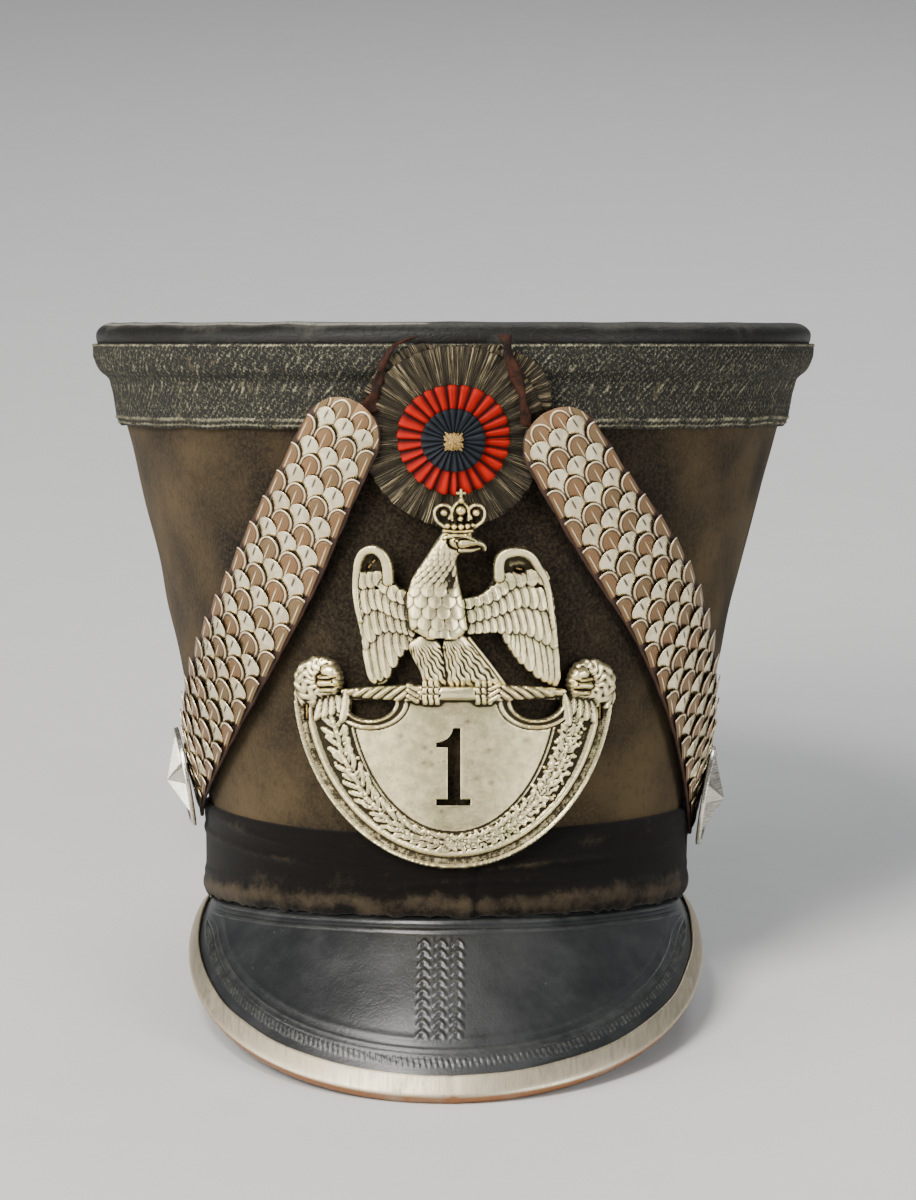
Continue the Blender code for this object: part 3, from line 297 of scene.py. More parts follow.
class Finish:
    # a material whose nodes are put down one call at a time
    def __init__(self, name, colour, roughness, metallic=0.0, **more):
        self.material = bpy.data.materials.new(name)
        self.material.use_nodes = True
        self.tree = self.material.node_tree
        self.shader = self.tree.nodes["Principled BSDF"]
        self.set(self.shader, {"Base Color": (*colour, 1.0), "Roughness": roughness, "Metallic": metallic,
                               **more})

    def set(self, node, inputs):
        # link the inputs that are sockets, and set the others to their values
        for key, value in inputs.items():
            if isinstance(value, bpy.types.NodeSocket):
                self.tree.links.new(value, node.inputs[key])
            else:
                node.inputs[key].default_value = value

    def put(self, kind, inputs=None, **settings):
        # a new shader node with its settings and inputs
        node = self.tree.nodes.new("ShaderNode" + kind)
        for key, value in settings.items():
            setattr(node, key, value)
        self.set(node, inputs or {})
        return node

    def place(self):
        # where a point of the piece is, in metres
        return self.put("TexCoord").outputs["Object"]

    def pattern(self):
        # the piece's own uv map, in millimetres
        return self.put("UVMap", uv_map="pattern").outputs["UV"]

    def mark(self, name):
        # a value that the piece carries at each point
        return self.put("Attribute", attribute_name=name).outputs["Fac"]

    def apart(self, vector):
        # the vector's three values
        return self.put("SeparateXYZ", {0: vector}).outputs

    def stretched(self, vector, scale, turn=(0.0, 0.0, 0.0)):
        # a vector scaled and turned, for a pattern that runs one way
        return self.put("Mapping", {"Vector": vector, "Scale": scale, "Rotation": turn}).outputs[0]

    def noise(self, where, scale, detail=3.0, rough=0.55):
        # cloudy noise, about 0.5
        return self.put("TexNoise", {"Vector": where, "Scale": scale, "Detail": detail,
                                     "Roughness": rough}).outputs["Fac"]

    def cells(self, where, scale, feature="F1"):
        # distance to the nearest of many scattered points, or to the cracks between them
        return self.put("TexVoronoi", {"Vector": where, "Scale": scale}, feature=feature).outputs["Distance"]

    def math(self, kind, a, b=0.0):
        # one sum or function of two values
        return self.put("Math", {0: a, 1: b}, operation=kind).outputs[0]

    def plus(self, a, b):
        # a + b
        return self.math("ADD", a, b)

    def times(self, a, b):
        # a * b
        return self.math("MULTIPLY", a, b)

    def span(self, value, low, high, toLow=0.0, toHigh=1.0):
        # a smooth step from toLow to toHigh while the value goes from low to high
        return self.put("MapRange", {"Value": value, "From Min": low, "From Max": high, "To Min": toLow,
                                     "To Max": toHigh}, interpolation_type="SMOOTHSTEP").outputs[0]

    def band(self, value, middle, half):
        # 1 where the value is within half of the middle, with soft edges
        off = self.math("ABSOLUTE", self.math("SUBTRACT", value, middle))
        return self.span(off, half * 0.5, half * 1.3, 1.0, 0.0)

    def mix(self, factor, a, b):
        # colour a where the factor is 0, b where it is 1
        node = self.put("Mix", data_type="RGBA")
        for socket, value in zip((node.inputs[0], node.inputs[6], node.inputs[7]), (factor, a, b)):
            if isinstance(value, bpy.types.NodeSocket):
                self.tree.links.new(value, socket)
            else:
                socket.default_value = value if isinstance(value, float) else (*value, 1.0)
        return node.outputs[2]

    def over(self, base, value, low, high, strength, colour):
        # a colour laid over the base, up to a strength, while the value goes from low to high
        return self.mix(self.span(value, low, high, 0.0, strength), base, colour)

    def bump(self, height, distance, strength=1.0, after=None):
        # surface normals bent by a height, on top of an earlier bump if one is given
        inputs = {"Height": height, "Distance": distance, "Strength": strength}
        if after is not None:
            inputs["Normal"] = after
        return self.put("Bump", inputs).outputs[0]

    def finish(self, colour, roughness=None, normal=None):
        # hand the worked out looks to the shader
        wanted = {"Base Color": colour, "Roughness": roughness, "Normal": normal}
        self.set(self.shader, {key: value for key, value in wanted.items() if value is not None})
        return self.material


def feltFinish():
    # black-brown felt: patchy fading from the fade mark, pale fibres, dark pits, specks of dust
    f = Finish("felt_faded", (0.045, 0.032, 0.022), 0.95,
               **{"Sheen Weight": 0.04, "Specular IOR Level": 0.12})
    where = f.place()
    fade = f.plus(f.mark("fade"), f.span(f.noise(where, 28.0, 5.0, 0.65), 0.3, 0.7, -0.16, 0.16))
    base = f.mix(f.span(fade, 0.1, 1.0), (0.0062, 0.0045, 0.0030), (0.078, 0.053, 0.024))
    fibre = f.noise(where, 900.0, 4.0, 0.7)
    base = f.over(base, fibre, 0.35, 0.75, 0.42, (0.085, 0.062, 0.033))
    base = f.over(base, f.noise(where, 300.0, 3.0), 0.5, 0.72, 0.3, (0.012, 0.009, 0.007))
    dust = f.span(f.cells(where, 420.0), 0.02, 0.10, 0.5, 0.0)
    base = f.mix(dust, base, (0.17, 0.13, 0.075))
    rough = f.bump(f.noise(where, 650.0, 5.0, 0.75), 0.0006, 0.8)
    return f.finish(base, normal=f.bump(f.noise(where, 60.0, 4.0), 0.0016, 0.35, rough))


def crownLeatherFinish():
    # waxed leather: worn pale patches, a painted highlight along the left half of the top edge where the mark
    # goes over 1.2, fine cracks
    f = Finish("leather_waxed", (0.03, 0.03, 0.028), 0.5, **{"Specular IOR Level": 0.22})
    where = f.place()
    worn = f.plus(f.mark("worn"), f.span(f.noise(where, 70.0, 6.0, 0.7), 0.35, 0.75, -0.3, 0.45))
    base = f.mix(f.span(worn, 0.15, 1.1), (0.0095, 0.0090, 0.0072), (0.046, 0.044, 0.036))
    # painted highlight: pale colour where the worn mark goes over 1.2, along the top edge on the hat's left
    # half only
    base = f.over(base, f.mark("worn"), 1.2, 2.0, 0.7, (0.26, 0.25, 0.21))
    cracks = f.cells(f.stretched(where, (1.0, 1.0, 2.5)), 260.0, "DISTANCE_TO_EDGE")
    base = f.mix(f.span(cracks, 0.0, 0.05, 0.45, 0.0), base, (0.004, 0.004, 0.004))
    height = f.plus(f.span(cracks, 0.0, 0.08, 0.0, 0.4), f.noise(where, 620.0, 5.0))
    return f.finish(base, f.span(worn, 0.0, 1.0, 0.50, 0.72), f.bump(height, 0.0003, 0.5))


def galloonFinish():
    # woven braid: raised threads from the thread mark, slanting weft, dots of yarn, ochre and dark patches
    f = Finish("galloon_weave", (0.06, 0.062, 0.06), 0.85, **{"Specular IOR Level": 0.15})
    where, uv = f.place(), f.pattern()
    thread = f.mark("thread")
    yarn = f.noise(f.stretched(uv, (1.35, 0.75, 1.0), (0.0, 0.0, 0.25)), 1.0, 4.0, 0.8)
    weft = f.put("TexWave", {"Vector": uv, "Scale": 0.62, "Distortion": 1.5, "Detail": 2.0},
                 wave_type="BANDS", bands_direction="DIAGONAL").outputs["Fac"]
    dots = f.span(yarn, 0.50, 0.62)
    lift = f.plus(f.times(thread, 1.15), f.times(dots, 0.5))
    base = f.mix(f.span(lift, 0.05, 1.1), (0.017, 0.0165, 0.0135), (0.42, 0.385, 0.25))
    base = f.over(base, weft, 0.55, 0.95, 0.35, (0.034, 0.037, 0.038))
    base = f.over(base, f.noise(where, 160.0, 4.0, 0.8), 0.56, 0.74, 0.55, (0.17, 0.145, 0.075))
    base = f.over(base, f.noise(where, 33.0, 3.0), 0.45, 0.7, 0.3, (0.014, 0.014, 0.014))
    height = f.plus(f.times(weft, 0.5), yarn)
    return f.finish(base, normal=f.bump(height, 0.0005, 0.9))


def velvetFinish():
    # worn velvet: brown from the dust mark, which holds dust low on the band and a painted highlight on the
    # raised folds, streaks round the band, specks of rust
    f = Finish("velvet_worn", (0.016, 0.011, 0.008), 0.95,
               **{"Sheen Weight": 0.06, "Specular IOR Level": 0.08})
    where = f.place()
    dustAndFoldHighlight = f.plus(f.mark("dust"), f.span(f.noise(where, 120.0, 8.0, 0.8), 0.3, 0.72, -0.38, 0.34))
    base = f.mix(f.span(dustAndFoldHighlight, 0.2, 1.15), (0.0036, 0.0028, 0.0021), (0.047, 0.035, 0.021))
    streak = f.noise(f.stretched(f.pattern(), (0.02, 0.55, 1.0)), 4.0, 4.0, 0.7)
    base = f.over(base, streak, 0.5, 0.8, 0.4, (0.019, 0.014, 0.009))
    base = f.over(base, f.noise(where, 160.0, 3.0), 0.66, 0.78, 0.3, (0.085, 0.035, 0.015))
    return f.finish(base, normal=f.bump(f.noise(where, 1400.0, 3.0, 0.7), 0.0003, 0.6))


def peakFinish():
    # blackened leather under a coat of wax: cloudy sheen, paler tooling from the worn mark, pale specks
    f = Finish("leather_black", (0.010, 0.0105, 0.011), 0.36,
               **{"Coat Weight": 0.4, "Coat Roughness": 0.26})
    where = f.place()
    cloud = f.noise(where, 26.0, 5.0, 0.65)
    base = f.mix(f.span(cloud, 0.35, 0.75), (0.0085, 0.0093, 0.0095), (0.027, 0.029, 0.029))
    worn = f.times(f.mark("worn"), f.span(f.noise(where, 240.0, 4.0), 0.3, 0.7, 0.3, 1.0))
    base = f.over(base, worn, 0.1, 0.9, 0.55, (0.085, 0.085, 0.070))
    specks = f.span(f.cells(where, 110.0), 0.012, 0.03, 0.6, 0.0)
    base = f.mix(specks, base, (0.30, 0.28, 0.24))
    grain = f.plus(f.noise(where, 1100.0, 4.0, 0.6),
                   f.times(f.noise(where, 210.0, 3.0), 0.8))
    return f.finish(base, f.span(cloud, 0.3, 0.75, 0.30, 0.46), f.bump(grain, 0.00022, 0.6))


def silverFinish(name, bright, middle, dark, roughness, tint):
    # silvered metal: bright where it stands proud, dark patina in the recesses, a tint in places;
    # on the plate the recess mark also carries painted shade in the hollows and painted highlight on proud
    # places
    f = Finish(name, bright, roughness, 1.0)
    where = f.place()
    recess = f.plus(f.mark("recess"), f.span(f.noise(where, 260.0, 5.0, 0.75), 0.3, 0.7, -0.12, 0.12))
    base = f.mix(f.span(recess, 0.05, 0.42), bright, middle)
    base = f.mix(f.span(f.noise(where, 100.0, 4.0), 0.48, 0.66, 0.0, 0.5), base, tint)
    base = f.over(base, f.noise(where, 420.0, 5.0, 0.8), 0.62, 0.75, 0.5, (0.30, 0.27, 0.22))
    base = f.mix(f.span(recess, 0.38, 0.85), base, dark)
    scratch = f.noise(f.stretched(where, (1.0, 1.0, 9.0), (0.4, 0.2, 0.5)), 260.0, 4.0, 0.7)
    rough = f.plus(f.span(recess, 0.2, 0.9, roughness, 0.75), f.span(scratch, 0.3, 0.8, -0.06, 0.14))
    return f.finish(base, rough, f.bump(scratch, 0.00008, 0.5))


def rimFinish():
    # silvered channel: scratches along it, dark pits, grime, and copper showing from the recess mark
    f = Finish("rim_silvered", (0.82, 0.75, 0.62), 0.34, 1.0)
    where = f.place()
    scratch = f.noise(f.stretched(where, (9.0, 1.0, 1.0), (0.0, 0.3, 0.0)), 130.0, 5.0, 0.75)
    base = f.mix(f.span(scratch, 0.5, 0.72, 0.0, 0.4), (0.58, 0.51, 0.375), (0.39, 0.33, 0.23))
    pits = f.span(f.cells(where, 240.0), 0.03, 0.09, 0.55, 0.0)
    base = f.mix(pits, base, (0.20, 0.16, 0.11))
    base = f.mix(f.span(f.mark("recess"), 0.3, 0.9), base, (0.34, 0.17, 0.085))
    grime = f.span(f.noise(where, 38.0, 5.0, 0.7), 0.5, 0.72, 0.0, 0.5)
    base = f.mix(grime, base, (0.46, 0.42, 0.33))
    rough = f.plus(f.span(scratch, 0.3, 0.8, 0.42, 0.60), f.times(grime, 0.3))
    return f.finish(base, rough, f.bump(scratch, 0.0001, 0.5))


def scaleFinish():
    # pattern u counts lobes across the strap, v is millimetres from the spring of a lobe's arch; the bright
    # scales have a slit, the engraved ones copper, hatching, and lines along the lobe's edge and middle
    f = Finish("scales_silvered", (0.68, 0.55, 0.46), 0.34, 1.0)
    where, uv = f.place(), f.apart(f.pattern())
    lobe = 8.6  # width of a lobe in millimetres
    x = f.times(f.math("SUBTRACT", f.math("FRACT", uv[0]), 0.5), lobe)
    arch = f.times(f.math("MAXIMUM", uv[1], 0.0), 0.87)
    square = f.plus(f.times(x, x), f.times(arch, arch))
    inside = f.math("SUBTRACT", lobe * 0.45, f.math("SQRT", square))
    kind = f.mark("engraved")
    outline = f.band(inside, 0.22, 0.30)
    groove = f.band(inside, 0.78, 0.22)
    line = f.times(f.band(x, 0.0, 0.22), f.band(uv[1], -2.5, 4.0))
    slit = f.times(f.band(x, 0.0, 0.42), f.band(uv[1], 1.5, 1.8))
    hatch = f.math("SINE", f.times(x, 9.0))
    cloud = f.noise(where, 90.0, 4.0, 0.7)
    tone = f.plus(f.mark("tone"), f.span(cloud, 0.35, 0.68, -0.4, 0.4))
    copper = f.mix(f.span(tone, 0.1, 0.9), (0.27, 0.185, 0.098), (0.32, 0.185, 0.096))
    copper = f.over(copper, hatch, -0.6, 1.0, 0.6, (0.17, 0.105, 0.058))
    copper = f.mix(groove, copper, (0.17, 0.11, 0.07))
    copper = f.mix(f.math("MAXIMUM", outline, line), copper, (1.0, 0.84, 0.56))
    shade = f.plus(f.mark("tone"), f.span(f.noise(where, 260.0, 2.0), 0.3, 0.7, -0.6, 0.6))
    silver = f.mix(f.span(shade, 0.1, 1.1), (1.0, 0.90, 0.62), (0.80, 0.68, 0.44))
    silver = f.mix(slit, silver, (0.14, 0.12, 0.09))
    base = f.mix(kind, silver, copper)
    grime = f.span(f.noise(where, 330.0, 5.0, 0.8), 0.55, 0.75, 0.0, 0.5)
    base = f.mix(grime, base, (0.23, 0.18, 0.13))
    # painted shade from the recess mark: under the next row up, fading towards it, and in the valleys between
    # lobes
    base = f.over(base, f.mark("recess"), 0.2, 1.0, 0.9, (0.06, 0.045, 0.032))
    raised = f.math("SUBTRACT", f.math("MAXIMUM", outline, line), f.times(groove, 0.6))
    raised = f.plus(f.times(raised, kind), f.times(hatch, 0.08))
    rough = f.plus(f.span(kind, 0.0, 1.0, 0.26, 0.42), f.times(grime, 0.3))
    return f.finish(base, rough, f.bump(raised, 0.0003, 0.7))


def strapFinish():
    # old red-brown leather in two shades
    f = Finish("leather_red_brown", (0.06, 0.022, 0.012), 0.65)
    where = f.place()
    base = f.mix(f.noise(where, 120.0, 5.0, 0.7), (0.012, 0.005, 0.003), (0.060, 0.020, 0.009))
    return f.finish(base, normal=f.bump(f.noise(where, 700.0, 4.0), 0.0003, 0.7))


def hairFinish():
    # pale and dark strands that run out from the middle, with painted shade in the valleys of the fold mark
    # and at the ring's left and right sides
    f = Finish("cockade_hair", (0.26, 0.22, 0.16), 0.8, **{"Specular IOR Level": 0.15})
    uv = f.pattern()
    strand = f.noise(f.stretched(uv, (3.4, 0.05, 1.0)), 1.0, 4.0, 0.8)
    wide = f.noise(f.stretched(uv, (0.55, 0.03, 1.0)), 1.0, 3.0, 0.6)
    base = f.mix(f.span(strand, 0.48, 0.66), (0.009, 0.007, 0.0045), (0.50, 0.40, 0.225))
    base = f.over(base, wide, 0.44, 0.62, 0.8, (0.030, 0.023, 0.014))
    # painted shade where the fold mark is low: the pleat valleys and the ring's sides
    base = f.mix(f.span(f.mark("fold"), 0.0, 0.7, 0.75, 0.0), base, (0.012, 0.010, 0.007))
    return f.finish(base, normal=f.bump(strand, 0.0005, 0.8))


def silkFinish(name, colour, shade, glow):
    # pleated silk: lit ribs, painted shade in the valleys from the fold mark, fine radial threads
    f = Finish(name, colour, 0.6, **{"Specular IOR Level": 0.12})
    uv = f.pattern()
    thread = f.noise(f.stretched(uv, (3.0, 0.12, 1.0)), 1.0, 3.0, 0.7)
    base = f.mix(f.span(thread, 0.3, 0.75), colour, glow)
    # painted shade in the pleat valleys, where the fold mark is low
    base = f.mix(f.span(f.mark("fold"), 0.05, 0.8, 1.0, 0.0), base, shade)
    return f.finish(base, normal=f.bump(thread, 0.0003, 0.6))


def threadFinish(name, light, dark):
    # spun thread, light and dark by turns
    f = Finish(name, light, 0.55, **{"Specular IOR Level": 0.3})
    twist = f.noise(f.place(), 1500.0, 3.0, 0.7)
    return f.finish(f.mix(f.span(twist, 0.35, 0.65), dark, light), normal=f.bump(twist, 0.0003, 0.7))


def ribbonFinish():
    # dark brown silk in two shades
    f = Finish("ribbon_silk", (0.07, 0.022, 0.014), 0.7, **{"Specular IOR Level": 0.15})
    where = f.place()
    shade = f.span(f.noise(where, 190.0, 4.0, 0.7), 0.35, 0.7)
    base = f.mix(shade, (0.007, 0.003, 0.002), (0.048, 0.016, 0.008))
    return f.finish(base, normal=f.bump(f.noise(where, 900.0, 3.0), 0.0003, 0.7))


felt, crownLeather, galloonCloth, velvet = feltFinish(), crownLeatherFinish(), galloonFinish(), velvetFinish()
peakLeather, rimMetal, scaleMetal, strapLeather = peakFinish(), rimFinish(), scaleFinish(), strapFinish()
plateSilver = silverFinish("plate_silvered", (1.0, 0.87, 0.51), (0.52, 0.44, 0.26), (0.045, 0.037, 0.022),
                           0.36, (0.50, 0.50, 0.25))
bossSilver = silverFinish("boss_silvered", (0.86, 0.81, 0.70), (0.56, 0.52, 0.43), (0.05, 0.045, 0.04),
                          0.25, (0.58, 0.55, 0.46))
hairGrey, ribbonSilk = hairFinish(), ribbonFinish()
silkRed = silkFinish("cockade_scarlet", (0.26, 0.005, 0.0015), (0.018, 0.0005, 0.0003), (0.50, 0.010, 0.002))
silkBlue = silkFinish("cockade_navy", (0.008, 0.0105, 0.015), (0.0008, 0.001, 0.0015), (0.022, 0.028, 0.036))
goldThread = threadFinish("thread_gold", (0.46, 0.30, 0.095), (0.17, 0.095, 0.026))
print("finishes made")


# Felt crown.

def buildFelt():
    # profile carried round the oval: down the outside, round the lower edge, up the inside, over the top edge
    n = crown["rows"]
    top = crown["top"]
    height = np.concatenate([np.linspace(top - 0.4, 0.5, n), [0.1, 0.0, 0.0, 0.1],
                             np.linspace(0.5, top - 0.4, n // 3), [top - 0.1, top, top]])[:, None]
    out = np.concatenate([np.zeros(n), [-0.3, -0.9, -2.1, -2.7],
                          np.full(n // 3, -crown["wall"]), [-2.7, -2.1, -0.6]])[:, None]
    azimuth = roundAngles(crown["columns"])
    dent = crown["dent"] * wobble(azimuth, height, 3) * step(height, *crown["dentFrom"])
    dent = dent * (1 - step(height, *crown["dentTo"]))
    grid = onCrown(azimuth, height, out + dent)
    side = np.abs(fromFront(azimuth))
    faded = crown["faded"]
    fade = faded["all"] + faded["sides"] * step(side, 0.45, 0.95) + faded["low"] * bell(height, 42, 26)
    fade = fade - faded["front"] * bell(side, 0, 0.5) * bell(height, 115, 40)
    fade = fade + faded["patches"] * wobble(azimuth, height, 11, rounds=(3, 20), pitch=(25, 80))
    piece = gridPiece("felt_crown", grid, felt, marks={"fade": fade}, closeRows=True)
    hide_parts("crown_body")
    return piece


# Leather top.

topLeather = {
    "lip": 1.8, "lipBottom": 178.5, "thickness": 2.4, "disc": -4.6, "middle": 0.015, "roundOff": 6.6,
    "columns": 300, "rings": 34, "edgeRings": 12, "lipRings": 9, "underRings": 12,
    "sag": 0.9, "dents": 0.22, "ripple": 0.35,
}


def buildTop():
    # rings: out over the disc, round the edge, down the lip, up inside it and back under the disc
    t = topLeather
    top, under, low = hat["topLevel"], hat["topLevel"] - t["thickness"], t["lipBottom"]
    inside = table("height out", (low, 0.5), (low + 4, 0.4), (under - 3.2, 0.3), (under - 1.2, 0.3),
        (under, -0.4))
    share = np.concatenate([np.linspace(t["middle"], 1, t["rings"]),
                            np.ones(t["edgeRings"] + t["lipRings"] + len(inside)),
                            np.linspace(1, t["middle"], t["underRings"])])[:, None]
    edge = np.linspace(0, 1, t["edgeRings"]) * math.pi / 2
    height = np.concatenate([np.full(t["rings"], top), top - t["roundOff"] * (1 - np.cos(edge)),
                             np.linspace(top - 7.4, low, t["lipRings"]), column(inside, "height"),
                             np.full(t["underRings"], under)])[:, None]
    out = np.concatenate([np.full(t["rings"], t["disc"]), -4.4 + (4.4 + t["lip"] + 0.3) * np.sin(edge),
                          np.full(t["lipRings"], t["lip"] + 0.1), column(inside, "out"),
                          np.full(t["underRings"], t["disc"])])[:, None]
    azimuth = roundAngles(t["columns"])
    grid = onCrown(azimuth, height, out)
    grid[..., :2] *= share[..., None]
    flatness = 1 - share ** 2
    away = step(share, 0.05, 0.55)
    lift = -t["sag"] * flatness * (1 + 0.4 * away * wobble(azimuth, 60 * share, 21, rounds=(1, 5)))
    dents = wobble(azimuth, 120 * share, 22, rounds=(4, 30), pitch=(8, 40))
    lift = lift + t["dents"] * away * dents * (share < 1)
    ripple = t["ripple"] * wobble(azimuth, height, 23, rounds=(9, 46), pitch=(20, 60))
    onEdge = bell(height, top - 3.0, 4.0) * (share >= 1)
    grid[..., 2] += lift + ripple * onEdge
    worn = 0.15 + 0.75 * bell(height, top - 0.8, 1.2) * (out > -4.5)
    worn = worn + 0.3 * wobble(azimuth, height, 24, rounds=(3, 30), pitch=(30, 90))
    # painted highlight: a pale line along the top edge, only on the hat's left half, added into the worn mark
    leftEdgeHighlight = bell(height, top - 0.5, 0.4) * (out > -4.5)
    worn = worn + 1.6 * leftEdgeHighlight * step(-fromFront(azimuth), 0.04, 0.08)
    piece = gridPiece("leather_top", grid, crownLeather, marks={"worn": worn})
    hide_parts("crown_top")
    return piece


# Woven galloon.

galloon = {
    "section": table("height out", (160.4, 2.0), (162.0, 2.5), (168.0, 2.3), (174.5, 2.0), (176.8, 2.3),
        (178.6, 3.9), (182.0, 4.9), (185.6, 4.6), (188.4, 3.6)),
    "cords": (161.5, 163.3, 187.9), "cordRadius": 0.45, "twist": 560, "cordRise": 0.55, "cordPale": 0.62,
    # rows of slanting threads: level, half height, how many, lean for each millimetre, thinness, paleness
    "slants": table("height half count lean thin pale", (184.2, 1.5, 178, 0.15, 5, 0.32),
        (180.4, 1.7, 190, 0.95, 4, 0.40), (173.6, 2.0, 142, 0.80, 5, 0.55),
        (167.4, 1.4, 178, -0.7, 4, 0.35)),
    "slantRise": 0.22, "yarns": 300, "yarnRise": 0.12, "wave": 0.35, "meanRadius": 118,
    "columns": 1290, "rows": 54,
}


def buildGalloon():
    # outside: section + round cords + looped ticks on the upper tier + herringbone slants on the lower one
    g = galloon
    azimuth = roundAngles(g["columns"])
    low, high = g["section"][0]["height"], g["section"][-1]["height"]
    height = np.linspace(low, high, g["rows"])[:, None]
    out = smoothAt(height, column(g["section"], "height"), column(g["section"], "out"))
    drift = 0.35 * wobble(azimuth, 0 * height, 31, rounds=(20, 70))
    phase = azimuth + 0.010 * wobble(azimuth, height, 32, rounds=(10, 40), pitch=(8, 30))
    thread = 0 * (height + azimuth)
    for middle in g["cords"]:
        away = (height - middle) / g["cordRadius"]
        twist = 0.8 + 0.2 * np.sin(g["twist"] * azimuth + 3.0 * away)
        cord = quarter(away) * twist
        out = out + g["cordRise"] * cord
        thread = np.maximum(thread, g["cordPale"] * cord)
    for row in g["slants"]:
        here = bell(height, row["height"], row["half"])
        turn = row["count"] * phase - row["lean"] * (height - row["height"])
        stroke = here * np.clip(np.cos(turn), 0, 1) ** row["thin"]
        uneven = wobble(azimuth, height, row["count"], rounds=(30, 200))
        stroke = stroke * np.clip(0.8 + 0.45 * uneven, 0, 1.4)
        out = out + g["slantRise"] * stroke
        thread = np.maximum(thread, row["pale"] * stroke)
    mesh = np.sin(3.6 * height) * np.sin(g["yarns"] * azimuth + 1.2 * height)
    out = out + g["yarnRise"] * mesh * (thread < 0.8)
    thread = thread + 0.30 * np.clip(mesh, -0.4, 1) * (1 - 0.5 * thread)
    thread = thread * (0.85 + 0.5 * wobble(azimuth, height, 33, rounds=(20, 90), pitch=(4, 20)))
    inside = table("height out", (high + 0.1, 2.6), (high - 0.6, 2.1), (179.2, 2.1), (177.9, 1.4),
        (177.4, 0.5), (low + 0.6, 0.4), (low - 0.1, 1.2))
    innerHeight = column(inside, "height")[:, None]

    def waved(level):
        # the lower edge goes up and down, and the wave dies out above it
        wave = g["wave"] * wobble(azimuth, 0 * level, 34, rounds=(8, 34))
        return level + wave * (1 - step(level, low, low + 8))

    grid = np.concatenate([onCrown(azimuth, waved(height), out + 0.25 * drift),
                           onCrown(azimuth, waved(innerHeight), column(inside, "out")[:, None])])
    thread = np.concatenate([thread, np.zeros((len(inside), g["columns"]))])
    around = np.linspace(0, fullTurn * g["meanRadius"], g["columns"] + 1)
    along = np.concatenate([height[:, 0], innerHeight[:, 0], height[:1, 0]])
    piece = gridPiece("galloon", grid, galloonCloth, patternUv(around, along), {"thread": thread}, True)
    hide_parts("top_galloon")
    return piece


# Head band.

headBand = {
    "frontTop": 27.0, "sideTop": 31.0, "topWave": 0.7, "thickness": 1.7, "seam": 0.118,
    "roll": 0.16, "rollDepth": 1.0, "ragged": 0.9, "height": 30, "meanRadius": 92,
    "columns": 600, "rows": 60, "innerStep": 12,
    # creases: share of the height at the seam, slope away from it, depth, and seed
    "creases": table("at slope deep seed", (0.55, 0.10, 0.85, 42), (0.40, -0.07, 0.75, 43),
        (0.78, 0.05, 0.55, 44)),
}


def bandTop(azimuth):
    # front level + (side level - front level) * sin squared + a slow wave
    b = headBand
    rise = (b["sideTop"] - b["frontTop"]) * np.sin(azimuth) ** 2
    return b["frontTop"] + rise + b["topWave"] * np.sin(3 * azimuth + 0.6)


def bandFolds(azimuth, share):
    # a soft roll low down, creases that run out from the seam, and the seam's own groove
    b = headBand
    away = fromFront(azimuth - b["seam"])
    fold = b["rollDepth"] * bell(share, b["roll"] + 0.04 * np.sin(2.3 * azimuth), 0.10)
    fold = fold * (1 + 0.35 * wobble(azimuth, 0 * share, 41, rounds=(3, 17)))
    for row in b["creases"]:
        line = row["at"] + row["slope"] * np.abs(away)
        line = line + 0.05 * wobble(azimuth, 0 * share, row["seed"], rounds=(2, 9))
        strength = 0.5 + 0.5 * wobble(azimuth, 0 * share, row["seed"] + 20, rounds=(2, 12))
        fold = fold + row["deep"] * bell(share, line, 0.038) * np.clip(strength, 0, 1.3)
    pinch = bell(away, 0, 0.012) * (1 - step(share, 0.9, 1.0))
    puff = bell(away, -0.045, 0.025) + bell(away, 0.045, 0.03)
    return fold - 0.95 * pinch + 0.35 * puff * bell(share, 0.3, 0.3)


def buildBand():
    # cloth from its ragged lower edge to its turned upper edge, then back down inside
    b = headBand
    azimuth = roundAngles(b["columns"])
    share = np.linspace(0, 1, b["rows"])[:, None]
    ragged = wobble(azimuth, 0 * share[0], 45, rounds=(5, 60), count=16)
    ragged = ragged + 0.5 * wobble(azimuth, 0 * share[0], 46, rounds=(60, 170), count=12)
    bottom = -0.25 - b["ragged"] * np.clip(ragged + 0.3, 0.0, 1.2)
    bottom = np.maximum(bottom, 0.55 - 18 * (1 + np.cos(azimuth)))  # at the back it stops above the floor
    fold = bandFolds(azimuth, share)
    edge = quarter((share - 0.5) / 0.5, 16)
    out = 0.45 + (b["thickness"] - 0.2) * edge + fold * edge
    height = bottom + (bandTop(azimuth) - bottom) * share
    back = slice(None, None, -b["innerStep"])
    grid = np.concatenate([onCrown(azimuth, height, out), onCrown(azimuth, height[back], 0.35)])
    # the dust mark: dust low on the band and at its lower edge, and a painted highlight on the raised folds
    # through the fold term
    dust = 0.50 * bell(share, 0.12, 0.14) + 0.45 * fold + 0.35 * (1 - step(share, 0.0, 0.06))
    dust = dust + 0.25 * wobble(azimuth, b["height"] * share, 47, rounds=(4, 30), pitch=(8, 30))
    dust = np.concatenate([dust, np.zeros_like(dust)[back]])
    around = np.linspace(0, fullTurn * b["meanRadius"], b["columns"] + 1)
    along = np.concatenate([b["height"] * share[:, 0], b["height"] * share[back, 0], [0.0]])
    piece = gridPiece("head_band_cloth", grid, velvet, patternUv(around, along), {"dust": dust}, True)
    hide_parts("head_band")
    return piece


# Peak.

